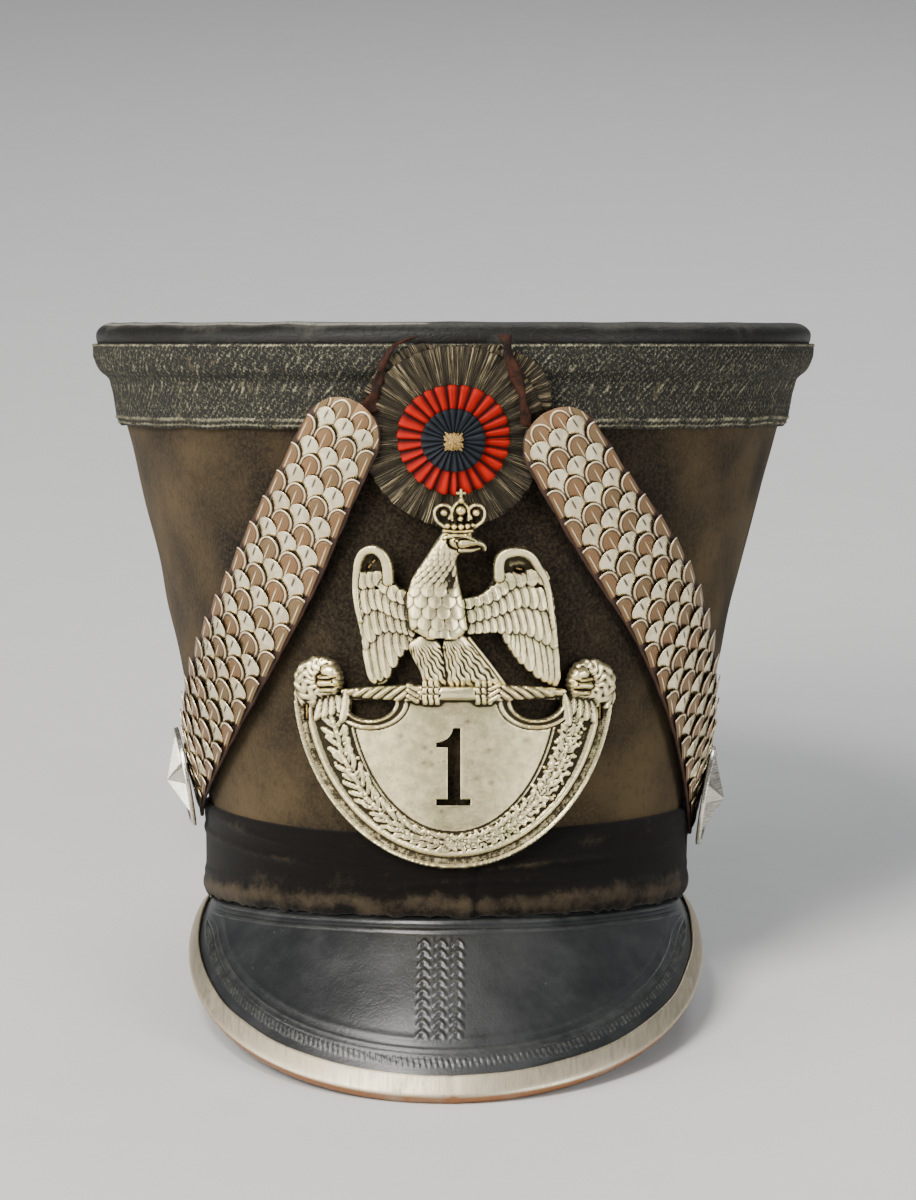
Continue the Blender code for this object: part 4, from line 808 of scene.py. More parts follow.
peak = {
    "drop": 55.5, "reach": 40.0, "dropPower": 1.45, "reachPower": 1.3, "tuck": 1.6, "end": 84.0,
    "thickness": 2.4, "crowning": 2.2, "flange": 7.6, "flangeSide": 5.5, "under": 4.5, "metal": 0.7,
    "columns": 510, "rows": 130, "underStep": 13, "rimColumns": 420,
    # tooling: ropes from the felt outwards, then border, inner rope and ridge from the edge inwards
    "ropes": (2.3, 6.3), "ropeHalf": 0.85, "ropeHigh": 0.38, "ropeTwist": 1.35,
    "border": (10.0, 13.2), "innerRope": (14.0, 16.4), "tick": 1.9, "ridge": 20.0,
    "chevronColumns": (-9.2, -3.7, 1.9), "chevronLean": -0.018, "chevrons": 10,
    "chevronFirst": 0.15, "chevronLast": 0.665, "chevronHigh": 0.62, "lines": (-6.4, -0.9), "lineHigh": 0.30,
}


def peakFrame(azimuth, share):
    # from the felt's edge outwards and down: the edge vector shrinks towards the sides, with a bulge half way
    p = peak
    azimuth, share = np.broadcast_arrays(np.asarray(azimuth, float), np.asarray(share, float))
    outward = np.stack([halfDepth(0.0) * np.sin(azimuth), -halfWidth(0.0) * np.cos(azimuth), 0 * azimuth], -1)
    outward = unit(outward)
    fade = np.cos(azimuth)
    reach = (p["reach"] + p["tuck"]) * fade ** p["reachPower"] + 2.0 * (1 - fade)
    drop = (p["drop"] - hat["gap"]) * fade ** p["dropPower"] + 3.0 * (1 - fade)
    edge = outward * reach[..., None] - drop[..., None] * np.array([0, 0, 1.0])
    length = np.linalg.norm(edge, axis=-1)
    down = edge / length[..., None]
    normal = unit(outward - down * np.einsum("...i,...i", outward, down)[..., None])
    root = onCrown(azimuth, 0.0, -p["tuck"])
    root[..., 2] -= hat["gap"] + p["thickness"] * 0.5 * normal[..., 2]
    bulge = p["crowning"] * 4 * share * (1 - share) * fade
    return root + edge * share[..., None] + normal * bulge[..., None], normal, down, length


def peakEmboss(share, place, length, along):
    # raised tooling: ropes by the band, a ticked border and a rope by the metal, chevrons between two lines
    p = peak
    fromRoot, fromEdge = share * length, (1 - share) * length
    wide = step(length, 14, 34)
    rise = 0 * share
    worn = 0 * share
    for middle in p["ropes"]:
        off = (fromRoot - middle) / p["ropeHalf"]
        rope = quarter(off)
        twist = 0.72 + 0.28 * np.sin(fullTurn * along / p["ropeTwist"] + 2.0 * off)
        rise = rise + p["ropeHigh"] * rope * twist * wide - 0.12 * bell(np.abs(off), 1.35, 0.3) * wide
        worn = worn + 0.5 * rope * wide
    scale = step(length, 8, 30) * 0.65 + 0.35
    low, high = p["border"][0] * scale, p["border"][1] * scale
    inBorder = step(fromEdge, low - 0.2, low + 0.3) * (1 - step(fromEdge, high - 0.3, high + 0.2))
    ticks = np.clip(0.5 + 0.8 * np.sin(fullTurn * along / p["tick"] + 0.9 * (fromEdge - low)), 0, 1)
    rise = rise + inBorder * (0.50 * ticks - 0.12)
    worn = worn + inBorder * (0.25 + 0.55 * ticks)
    low, high = p["innerRope"][0] * scale, p["innerRope"][1] * scale
    inRope = step(fromEdge, low - 0.2, low + 0.2) * (1 - step(fromEdge, high - 0.2, high + 0.2))
    sides = bell(fromEdge, low, 0.35) + bell(fromEdge, high, 0.35)
    twist = 0.5 + 0.5 * np.sin(fullTurn * along / p["ropeTwist"] - 1.6 * (fromEdge - low))
    rise = rise + wide * (0.22 * sides + 0.20 * inRope * twist)
    worn = worn + 0.45 * inRope * wide
    rise = rise + 0.22 * (bell(fromEdge, p["ridge"] * scale, 1.2) * wide)
    t = (share - p["chevronFirst"]) / (p["chevronLast"] - p["chevronFirst"])
    lean = p["chevronLean"] * fromRoot
    field = step(share, 0.115, 0.13) * (1 - step(share, 0.69, 0.705))
    for x in p["lines"]:
        rise = rise + p["lineHigh"] * bell(place[..., 0] - x - lean, 0, 0.32) * field
    for x in p["chevronColumns"]:
        dx = np.abs(place[..., 0] - x - lean)
        k = t * (p["chevrons"] - 1) - dx * 0.30
        near = np.clip(np.round(k), 0, p["chevrons"] - 1)
        arm = np.clip(1 - ((k - near) / 0.27) ** 2, 0, 1) * (1 - step(dx, 1.55, 2.0))
        pit = bell(k - near, 0.46, 0.14) * (1 - step(dx, 1.0, 2.2)) * (k < p["chevrons"] - 0.5)
        rise = rise + p["chevronHigh"] * np.sqrt(arm) - 0.18 * pit
        worn = worn + 0.35 * arm
    return rise, worn


def buildPeak():
    # top surface with its tooling, round the cut edge under the metal, and a plain underside
    p = peak
    end = math.radians(p["end"])
    azimuth = np.linspace(-end, end, p["columns"])
    share = np.linspace(0, 1, p["rows"])[:, None]
    place, normal, down, length = peakFrame(azimuth, share)
    along = lengths(peakFrame(azimuth, 0.8)[0])
    inset = (p["metal"] + hat["gap"]) * share[..., None]
    rise, worn = peakEmboss(share + 0 * azimuth, place, length, along)
    uneven = wobble(azimuth, 60 * share, 51, rounds=(3, 12), pitch=(20, 60))
    rise = rise + 0.25 * uneven * step(length, 10, 40)
    hidden = 1 - step((1 - share) * length, 8.2, 9.4)
    rise = rise * (1 - hidden) * step(share * length, 0.8, 1.6)
    half = p["thickness"] * 0.5
    top = place - down * inset + normal * (half + rise[..., None])
    under = (place - down * inset - normal * half)[::-p["underStep"]]
    grid = np.concatenate([top, under])
    worn = np.concatenate([worn, np.full((len(under), len(azimuth)), 0.5)])
    piece = gridPiece("peak_leather", grid.transpose(1, 0, 2), peakLeather, marks={"worn": worn.T})
    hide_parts("peak")
    return piece


def buildRim():
    # the folded channel: flange over the top, round the edge, a narrower flange under the peak
    p = peak
    end = math.radians(p["end"])
    azimuth = np.linspace(-end, end, p["rimColumns"])
    point, normal, down, length = peakFrame(azimuth, 1.0)
    flange = p["flangeSide"] + (p["flange"] - p["flangeSide"]) * np.cos(azimuth)
    flange = flange + 0.25 * wobble(azimuth, 0 * azimuth, 61, rounds=(6, 30))
    flange = np.minimum(flange, 0.8 * length)
    slot = p["thickness"] * 0.5 + hat["gap"]
    outer = slot + p["metal"]
    dentHere = 1.1 * bell(azimuth, 0.02, 0.012) + 0.12 * wobble(azimuth, 0 * azimuth, 62, rounds=(9, 40))

    def onTop(share, lift):
        # on the top of the peak, this share of the flange in from the edge
        there, up = peakFrame(azimuth, 1 - flange * share / length)[:2]
        return there + up * lift

    rings = [onTop(1.0, slot + 0.15), onTop(1.0, outer - 0.05), onTop(0.97, outer + 0.05)]
    rings += [onTop(s, outer + 0.10 * math.sin(math.pi * s)) for s in (0.85, 0.7, 0.55, 0.4, 0.25, 0.12)]
    for angle in np.linspace(70, -70, 7):
        a = math.radians(angle)
        rings.append(point + down * (0.9 * math.cos(a) - 0.25) + normal * outer * math.sin(a) * 0.98)
    for back, depth in ((0.8, outer), (2.4, outer), (p["under"], outer), (p["under"], slot)):
        rings.append(point - down * np.minimum(back, 0.5 * length)[:, None] - normal * depth)
    rings += [point - down * p["metal"] - normal * slot, point - down * p["metal"] + normal * slot]
    rings += [onTop(s, slot) for s in (0.35, 0.7)]
    grid = np.stack(rings, 1)
    grid[..., 2] -= dentHere[:, None] * 0.15
    lip = np.array([0.1, 0.1, 0.05] + [0.0] * 5 + [0.15] + [0.5, 0.8, 0.9, 0.95, 1, 1, 1] + [1.0] * 8)
    recess = np.broadcast_to(lip, grid.shape[:2]) + 0.9 * bell(azimuth, 0.02, 0.01)[:, None] * 0.4
    piece = gridPiece("rim_channel", grid, rimMetal, marks={"recess": recess})
    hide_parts("peak_rim")
    return piece


# Stamped front plate, drawn in millimetres right (u) and up (v) from the middle of its bar.

plate = {
    "level": 74.5, "stretch": 1.028, "sheet": 0.9,
    "eagle": {"left": -35.0, "right": 36.0, "low": 1.0, "high": 68.0, "pitch": 0.27},
    "shield": {"left": -54.5, "right": 54.5, "low": -59.5, "high": 14.0, "pitch": 0.37},
    "bend": table("v out", (34.0, 2.5), (50.0, 6.6), (67.0, 8.8)),
    # border of the shield, from its outer edge inwards
    "rim": table("in rise", (0.0, 0.5), (0.7, 1.5), (1.5, 0.35), (3.7, 0.3), (4.2, 1.2), (4.9, 1.6),
        (5.7, 1.1), (6.3, 0.35)),
    # round the two openings under the bar
    "moulding": table("in rise", (0.0, 0.8), (0.6, 1.6), (1.3, 0.5), (2.3, 0.5), (3.0, 1.4), (3.9, 0.4)),
    "sharp": 62,  # degrees between faces that stay a crease
}
shield = {
    "centre": 3.0, "half": 52.4, "deep": 60.2, "innerHalf": 33.6, "innerDeep": 48.4, "top": -1.4,
    "notch": 27.2, "notchHalf": 8.5, "notchDeep": 6.3, "notchTop": -3.0,
    "bar": 36.0, "barLevel": -0.5, "twist": 3.6,
    "barHalf": table("at half", (0, 2.2), (11, 2.6), (16, 2.7), (28, 1.9), (35, 1.1), (36, 0.6)),
    "claws": table("side inner", (-1, -9.2), (1, 7.6)), "clawStep": 1.9,
    "clawJoints": ((3.2, 1.0), (0.8, -1.2), (-1.4, -3.4)),
    "knot": ((1.4, 1.4), (-0.4, 1.8), (-2.2, 1.6)), "knotFrom": 11.6, "knotTo": 14.4,
}
# pierced boxes: foot and stem of the numeral, then the two slots; the numeral's flag is cut by a circle
pierced = table("left right low high", (-5.6, 5.6, -36.8, -34.8), (-1.9, 2.3, -36.8, -16.0),
    (-48.8, -46.8, -10.2, -4.6), (46.8, 48.8, -10.2, -4.6))
flag = {"centre": (-5.6, -10.9), "radius": 5.6, "left": -5.6, "right": 2.3, "low": -18.0, "high": -11.9}
pins = table("start end", ((-47.8, -9.6), (-47.8, -5.0)), ((47.8, -9.6), (47.8, -5.0)),
    ((-27.4, 40.8), (-25.3, 43.4)), ((20.4, 40.6), (22.2, 40.2)))
# dark spots of the field
stains = table("at radius", ((-9.1, -18.0), 0.9), ((-7.2, -19.4), 0.7), ((-9.6, -23.0), 0.6),
    ((-6.9, -23.7), 0.7), ((-3.1, -22.5), 0.5), ((4.6, -9.6), 0.8), ((11.5, -18.9), 0.7),
    ((23.5, -16.1), 1.1), ((7.6, -28.0), 0.8), ((12.2, -29.5), 0.9), ((-4.0, -38.6), 1.4),
    ((-17.0, -14.4), 0.7))
wings = (  # outline, arched rim, its hole, and rows of feathers, longest first, from one end to the other
    {"side": -1,
     "outline": ((-11.5, 31.0), (-16.3, 33.8), (-18.2, 35.2), (-19.3, 37.4), (-19.3, 40.8), (-19.8, 43.8),
         (-21.2, 46.4), (-23.6, 48.1), (-26.3, 48.6), (-29.1, 47.8), (-31.4, 45.2), (-32.5, 40.5),
         (-32.8, 34.0), (-31.9, 28.0), (-30.3, 21.0), (-28.5, 14.1), (-26.9, 7.6), (-25.6, 2.6),
         (-22.0, 2.8), (-20.7, 5.4), (-18.7, 8.8), (-16.6, 12.0), (-14.7, 14.8), (-11.5, 17.2)),
     "arch": ((-20.9, 36.4), (-21.1, 40.6), (-22.2, 44.2), (-24.2, 46.3), (-26.4, 46.8), (-28.8, 45.7),
         (-30.3, 43.0), (-30.9, 39.4), (-31.3, 33.8), (-30.8, 28.6), (-29.7, 23.0)),
     "holes": table("at half", ((-25.3, 43.4), (0.9, 0.9)), ((-27.4, 40.8), (0.9, 1.1))),
     "rows": table(
         "roots tips count point",
         (((-28.4, 18.0), (-23.5, 21.0), (-18.3, 20.5), (-13.6, 20.0)),
          ((-25.4, 2.3), (-21.2, 4.2), (-16.8, 11.4), (-12.9, 15.9)), 7, 2.4),
         (((-30.4, 27.0), (-24.8, 29.0), (-18.7, 26.5), (-13.8, 25.0)),
          ((-28.3, 13.6), (-23.0, 19.4), (-17.3, 19.4), (-13.0, 18.2)), 8, 1.8),
         (((-30.6, 34.5), (-25.4, 34.9), (-20.2, 31.2), (-14.0, 29.0)),
          ((-29.8, 24.2), (-24.0, 27.2), (-18.3, 24.2), (-13.6, 22.8)), 8, 1.6),
         (((-28.8, 39.4), (-24.2, 39.8), (-19.6, 35.0), (-13.8, 32.4)),
          ((-28.6, 33.6), (-23.6, 34.4), (-18.2, 29.8), (-13.6, 27.8)), 7, 1.4))},
    {"side": 1,
     "outline": ((1.0, 30.4), (5.7, 31.1), (8.6, 31.9), (11.0, 33.8), (12.7, 36.5), (13.3, 39.9),
         (13.4, 43.2), (14.4, 45.9), (16.6, 47.2), (19.6, 47.9), (22.6, 47.9), (25.0, 46.6), (26.8, 43.9),
         (28.9, 41.0), (30.7, 37.8), (31.8, 33.8), (32.3, 29.0), (33.1, 23.2), (33.5, 16.5), (33.5, 9.3),
         (33.4, 1.6), (31.2, 1.9), (28.6, 3.6), (24.8, 6.5), (21.4, 9.8), (19.2, 12.8), (17.5, 15.8),
         (15.7, 18.6), (13.4, 19.4), (10.5, 19.2), (7.2, 19.0), (1.0, 18.8)),
     "arch": ((14.7, 37.6), (14.7, 42.2), (16.0, 44.8), (19.2, 45.9), (22.4, 45.7), (25.2, 44.0),
         (27.3, 40.6), (29.2, 37.0), (30.4, 32.6), (31.2, 27.0), (32.0, 21.0)),
     "holes": table("at half", ((21.2, 40.0), (2.3, 1.15))),
     "rows": table(
         "roots tips count point",
         (((16.2, 25.0), (19.6, 23.0), (25.6, 20.5), (32.2, 18.5)),
          ((17.4, 15.6), (21.2, 9.6), (28.4, 3.2), (33.1, 1.0)), 9, 2.4),
         (((5.4, 23.4), (13.6, 25.4), (21.0, 29.4), (31.2, 26.5)),
          ((5.6, 18.6), (14.6, 19.0), (23.4, 18.8), (32.4, 13.8)), 12, 1.8),
         (((5.2, 27.2), (13.2, 31.0), (20.6, 36.0), (30.0, 33.6)),
          ((6.0, 22.6), (14.2, 24.8), (22.2, 27.8), (31.2, 25.8)), 11, 1.6),
         (((4.4, 31.0), (11.8, 34.2), (17.6, 39.8), (27.2, 40.2)),
          ((5.0, 27.2), (13.2, 29.4), (19.4, 34.2), (29.2, 35.0)), 9, 1.4))},
)
# left and right edge of each rounded body part at several levels, and where its strands fan out from
trunks = (
    {"rise": 3.0, "fan": (-15.0, 24.0),
     "edges": table("level left right", (1.3, -9.2, -1.8), (6.5, -10.8, -2.2), (10.3, -12.7, -2.8),
         (13.7, -14.1, -3.6), (16.1, -13.9, -4.4), (18.0, -11.4, -6.6))},
    {"rise": 3.6, "fan": (-5.0, 24.5),
     "edges": table("level left right", (1.3, -2.4, 17.2), (7.0, -2.8, 12.9), (11.7, -3.2, 9.3),
         (15.0, -3.5, 6.8), (17.4, -2.8, 4.9), (19.0, -0.8, 2.6))},
    {"rise": 5.0,
     "edges": table("level left right", (17.9, -8.6, 1.6), (19.6, -12.0, 3.6), (23.7, -13.9, 3.9),
         (28.5, -14.5, 3.4), (32.8, -14.4, 2.5), (36.6, -13.4, 1.7), (40.4, -11.4, 1.2), (43.8, -9.1, 1.0),
         (46.2, -7.6, 2.4), (48.6, -6.2, 4.4), (50.6, -4.9, 5.9), (52.6, -3.4, 5.8))},
)
# rows of small feathers on the last trunk: level of the first and last row, how many rows and feathers, size
plumage = table("from to rows across half long lean rise point",
    (18.8, 33.6, 5, 4, 2.4, 5.6, 0.0, 1.1, 1.2), (35.6, 48.2, 8, 6, 1.05, 3.2, -1.4, 0.9, 2.2))
# rounded ridges of the head, tail and crown: half width at the first and last point, and rise
ridges = table(
    "half end rise points",
    (2.7, 2.7, 4.4, ((0.6, 49.6), (1.4, 49.4))),
    (1.0, 0.45, 3.2, ((2.0, 46.7), (5.4, 46.6), (8.3, 47.3))),
    (1.7, 0.5, 4.4, ((2.6, 48.9), (5.8, 49.3), (8.4, 49.0), (9.8, 48.0), (10.0, 46.8))),
    (0.8, 0.6, 5.0, ((-2.8, 50.9), (0.8, 51.6), (4.2, 51.2), (6.4, 50.2))),
    (0.7, 0.7, 5.0, ((1.0, 49.9), (1.1, 49.9))),
    (0.7, 0.7, 2.0, ((5.0, 17.6), (11.0, 9.8), (16.6, 2.0))),
    (0.65, 0.65, 3.4, ((-3.0, 53.1), (1.6, 52.7), (6.0, 53.1))),
    (0.62, 0.62, 2.4, ((-2.6, 54.2), (-5.3, 56.4), (-6.0, 59.2), (-4.6, 61.2), (-2.0, 61.4), (-0.5, 59.6),
                       (-1.3, 57.2))),
    (0.62, 0.62, 2.4, ((6.8, 54.2), (9.4, 56.4), (10.0, 59.2), (8.7, 61.2), (6.3, 61.4), (4.9, 59.6),
                       (5.6, 57.2))),
    (0.55, 0.55, 2.6, ((-0.3, 56.6), (-0.4, 59.2), (0.6, 61.6), (2.3, 62.6), (4.0, 61.6), (4.9, 59.2),
                       (4.8, 56.6))),
    (0.55, 0.55, 2.2, ((1.3, 65.4), (3.7, 65.4))),
    (0.6, 0.6, 2.2, ((2.5, 63.6), (2.5, 66.4))))
# round stones of the crown
stones = table("at half", ((-1.9, 54.7), 0.95), ((0.2, 54.4), 1.05), ((2.4, 54.4), 1.1), ((4.5, 54.6), 1.0),
    ((6.2, 54.9), 0.7), ((-3.0, 59.0), 1.15), ((7.2, 59.0), 1.15), ((2.2, 57.0), 0.9), ((2.3, 59.7), 1.6),
    ((2.5, 63.0), 1.1))
# dark places of the eagle: middle, half width and height, strength
shadows = table("at half strength", ((1.1, 49.9), (1.0, 0.8), 0.5), ((5.4, 47.9), (3.4, 0.35), 0.9),
    ((-0.6, 36.6), (1.6, 4.2), 1.3), ((3.4, 50.6), (2.6, 0.6), 0.5), ((3.6, 25.0), (0.5, 5.0), 0.7),
    ((-4.0, 18.2), (8.0, 0.8), 0.6), ((9.0, 4.5), (5.0, 3.0), 0.35), ((2.0, 53.8), (4.5, 0.4), 0.6),
    ((2.2, 57.8), (3.6, 2.6), 0.25))
# a lion's face: forehead, brow, eyelid, nose, its tip and the jaw, inwards and up from the head's middle
face = table("from to half rise", ((3.2, 0.2), (4.4, 0.0), 3.5, 4.0), ((3.6, 3.2), (4.8, 2.8), 2.4, 4.8),
    ((1.4, 1.3), (4.2, 1.0), 0.6, 5.5), ((1.6, -0.8), (6.0, -0.6), 1.25, 5.2),
    ((6.2, 0.2), (6.4, -0.6), 0.8, 5.4), ((2.0, -3.2), (5.8, -2.9), 0.85, 4.7))
faceShadows = table("at half", ((4.0, 3.4), 1.5), ((2.8, 0.4), 0.6), ((4.6, 0.5), 0.4), ((3.0, -2.1), 0.6),
    ((4.2, -2.0), 0.6))
everywhere = (slice(None), slice(None))  # the whole grid of a relief


def onPlate(u, v, rise):
    # the plate's back follows the crown: azimuth = arcsin((u - shift) / (half width + stand off))
    height = plate["level"] + v * np.where(v < 0, plate["stretch"], 1.0)
    back = np.interp(v, column(plate["bend"], "v"), column(plate["bend"], "out"))
    azimuth = np.arcsin((u - sideShift(height)) / (halfWidth(height) + back))
    return onCrown(azimuth, height, back + rise)


def curve(points, each=5):
    # smooth line through some points, each times as fine
    points, knots = np.array(points, float), np.arange(len(points))
    at = np.linspace(0, len(points) - 1, each * (len(points) - 1) + 1)
    return np.stack([smoothAt(at, knots, points[:, k]) for k in (0, 1)], -1)


def insideOf(outline, u, v):
    # distance from a closed outline, positive inside: nearest edge, signed by the edges crossed to the right
    depth, crossed = np.full(u.shape, 99.0), np.zeros(u.shape, int)
    for (u0, v0), (u1, v1) in zip(outline, np.roll(outline, -1, axis=0)):
        t = np.clip(((u - u0) * (u1 - u0) + (v - v0) * (v1 - v0)) / ((u1 - u0) ** 2 + (v1 - v0) ** 2), 0, 1)
        depth = np.minimum(depth, np.hypot(u - u0 - t * (u1 - u0), v - v0 - t * (v1 - v0)))
        if v1 != v0:
            crossed += ((v0 > v) != (v1 > v)) & (u < u0 + (v - v0) * (u1 - u0) / (v1 - v0))
    return np.where(crossed % 2 == 1, depth, -depth)


def soften(values, cells):
    # mean over a square of cells, twice
    for axis in (0, 1, 0, 1):
        ends = [(0, 0), (0, 0)]
        ends[axis] = (cells + 1, cells)
        total = np.cumsum(np.pad(values, ends, mode="edge"), axis=axis)
        count = values.shape[axis]
        a, b = (np.take(total, np.arange(k, k + count), axis=axis) for k in (0, 2 * cells + 1))
        values = (b - a) / (2 * cells + 1)
    return values


class Relief:
    # a stamped sheet on a grid u, v: height, darkness, and how deep inside the outline each place lies
    def __init__(self, box):
        self.box, self.pitch = box, box["pitch"]
        self.u, self.v = np.meshgrid(np.arange(box["left"], box["right"], box["pitch"]),
                                     np.arange(box["low"], box["high"], box["pitch"]))
        self.high, self.dark = np.zeros(self.u.shape), np.zeros(self.u.shape)
        self.inside = np.full(self.u.shape, -9.0)

    def near(self, points, reach):
        # the rows and columns of the grid round some points
        points, corner = np.asarray(points, float), np.array([self.box["left"], self.box["low"]])
        low = np.maximum(np.floor((points.min(0) - reach - corner) / self.pitch), 0).astype(int)
        high = np.maximum(np.ceil((points.max(0) + reach - corner) / self.pitch), 0).astype(int) + 1
        return slice(low[1], high[1]), slice(low[0], high[0])

    def lay(self, here, depth, high, dark=0.0, grow=True):
        # cover what is there where depth, the distance inside the new shape's edge, is above zero
        weight = step(depth, -0.12, 0.18)
        self.high[here] += weight * (high - self.high[here])
        self.dark[here] += weight * (dark - self.dark[here])
        if grow:
            self.inside[here] = np.maximum(self.inside[here], depth)

    def ridge(self, points, half, rise, hatch=0.0, grow=True, end=None, power=2):
        # rounded ridge along a bent line: height = rise * (0.35 + 0.65 * quarter circle across it);
        # end: half width at its far end
        here = self.near(points, half + 0.5)
        u, v = self.u[here], self.v[here]
        off, along, start = np.full(u.shape, 99.0), np.zeros(u.shape), 0.0
        for (u0, v0), (u1, v1) in zip(points[:-1], points[1:]):
            long = math.hypot(u1 - u0, v1 - v0)
            t = np.clip(((u - u0) * (u1 - u0) + (v - v0) * (v1 - v0)) / long ** 2, 0, 1)
            away = np.hypot(u - u0 - t * (u1 - u0), v - v0 - t * (v1 - v0))
            along = np.where(away < off, start + t * long, along)
            off = np.minimum(away, off)
            start += long
        half = half + ((end or half) - half) * along / max(start, 1e-6)
        across = quarter(off / half, power)
        ripple = hatch * np.sin(fullTurn * along / 0.9 + 1.5 * off)
        self.lay(here, half - off, rise * (0.35 + 0.65 * across) + ripple,
                 0.55 * bell(off, half, 0.25) + 2.0 * hatch * (ripple < 0), grow)

    def dot(self, at, half, rise, grow=True):
        # a ridge as short as a point
        self.ridge((at, (at[0] + 0.1, at[1])), half, rise, grow=grow)

    def smudge(self, at, half, strength):
        # darken round a place
        self.dark += strength * bell(np.hypot((self.u - at[0]) / half[0], (self.v - at[1]) / half[1]), 0, 1)

    def feather(self, root, tip, half, rise, bed=0.0, bend=0.0, lobes=0, grow=True, cover=None, point=1.5,
                shaft=0.16):
        # a leaf shape, arched across, with a shaft and slanting barbs, on its bed and inside its cover;
        # point: length of its tip in half widths
        root, tip = np.asarray(root, float), np.asarray(tip, float)
        here = self.near([root, tip], half + abs(bend) + 0.4)
        long = math.hypot(*(tip - root))
        du, dv = (tip - root) / long
        u, v = self.u[here] - root[0], self.v[here] - root[1]
        t = (u * du + v * dv) / long
        off = np.abs(v * du - u * dv - bend * 4 * t * (1 - t))
        tipward = np.clip((t - 1) * long / (point * half) + 1, 0, 1)
        edge = half * quarter(tipward) * (0.6 + 0.4 * step(t, 0, 0.35))
        if lobes:
            edge = edge * (0.78 + 0.30 * np.cos(fullTurn * lobes * t))
        depth = np.minimum(edge - off, np.minimum(t, 1.02 - t) * long)
        arch = 1 - 0.55 * np.clip(off / half, 0, 1) ** 2
        bed = bed if np.isscalar(bed) else bed[here]
        barbs = np.sin(fullTurn * (t * long - 1.7 * off) / 1.05)
        high = bed + rise * (0.40 + 0.60 * arch) * (0.75 + 0.25 * t) + 0.35 * t
        high = high + 1.2 * shaft * bell(off, 0, 0.22) + 0.45 * shaft * barbs
        if cover is not None:
            depth = np.minimum(depth, cover[here] + 0.3)
        dark = 0.85 * bell(depth, 0.0, 0.26) + 1.5 * abs(shaft) * (barbs < -0.2)
        self.lay(here, depth, high, dark, grow)

    def piece(self, name, finish, back=0.0):
        # cells of the grid inside the outline, thickened to the sheet, edge points moved onto the outline
        inside = self.inside
        solid = inside > -0.5 * self.pitch
        cells = solid[:-1, :-1] & solid[:-1, 1:] & solid[1:, 1:] & solid[1:, :-1]
        rows, columns = inside.shape
        quads = gridQuads(rows, columns)[cells.ravel()]
        used, quads = np.unique(quads, return_inverse=True)
        quads = quads.reshape(-1, 4)
        count = len(used)
        sides = np.concatenate([quads[:, [k, (k + 1) % 4]] for k in range(4)])
        code, opposite = sides[:, 0] * count + sides[:, 1], sides[:, 1] * count + sides[:, 0]
        rim = sides[~np.isin(code, opposite)]
        slopeV, slopeU = np.gradient(inside, self.pitch)
        slope = slopeU ** 2 + slopeV ** 2 + 0.05
        shift = np.clip(-inside / slope, -1.2 * self.pitch, 1.2 * self.pitch).ravel()[used]
        onRim = np.zeros(count)
        onRim[rim.ravel()] = np.abs(inside.ravel()[used][rim.ravel()]) < 1.5 * self.pitch
        u = self.u.ravel()[used] + onRim * shift * slopeU.ravel()[used]
        v = self.v.ravel()[used] + onRim * shift * slopeV.ravel()[used]
        high = self.high.ravel()[used] * (1 - 0.35 * onRim)
        front, rear = onPlate(u, v, plate["sheet"] + high), onPlate(u, v, back)
        walls = np.stack([rim[:, 1], rim[:, 0], rim[:, 0] + count, rim[:, 1] + count], -1)
        # painted shade and painted highlight over the patina: darker where the sheet lies below its softened
        # surroundings at three reaches, brighter where it stands above them
        hollow = sum(gain * (soften(self.high, round(reach / self.pitch)) - self.high)
                     for reach, gain in ((0.36, 1.6), (1.1, 0.8), (3.2, 0.16)))
        dark = np.clip(0.2 + 0.75 * self.dark + hollow, 0, 1).ravel()[used]
        faces = np.concatenate([quads, quads[:, ::-1] + count, walls])
        made = meshPiece(name, np.concatenate([front, rear]), [faces], finish,
                         marks={"recess": np.concatenate([dark, np.full(count, 0.7)])})
        made.data.set_sharp_from_angle(angle=math.radians(plate["sharp"]))
        return made


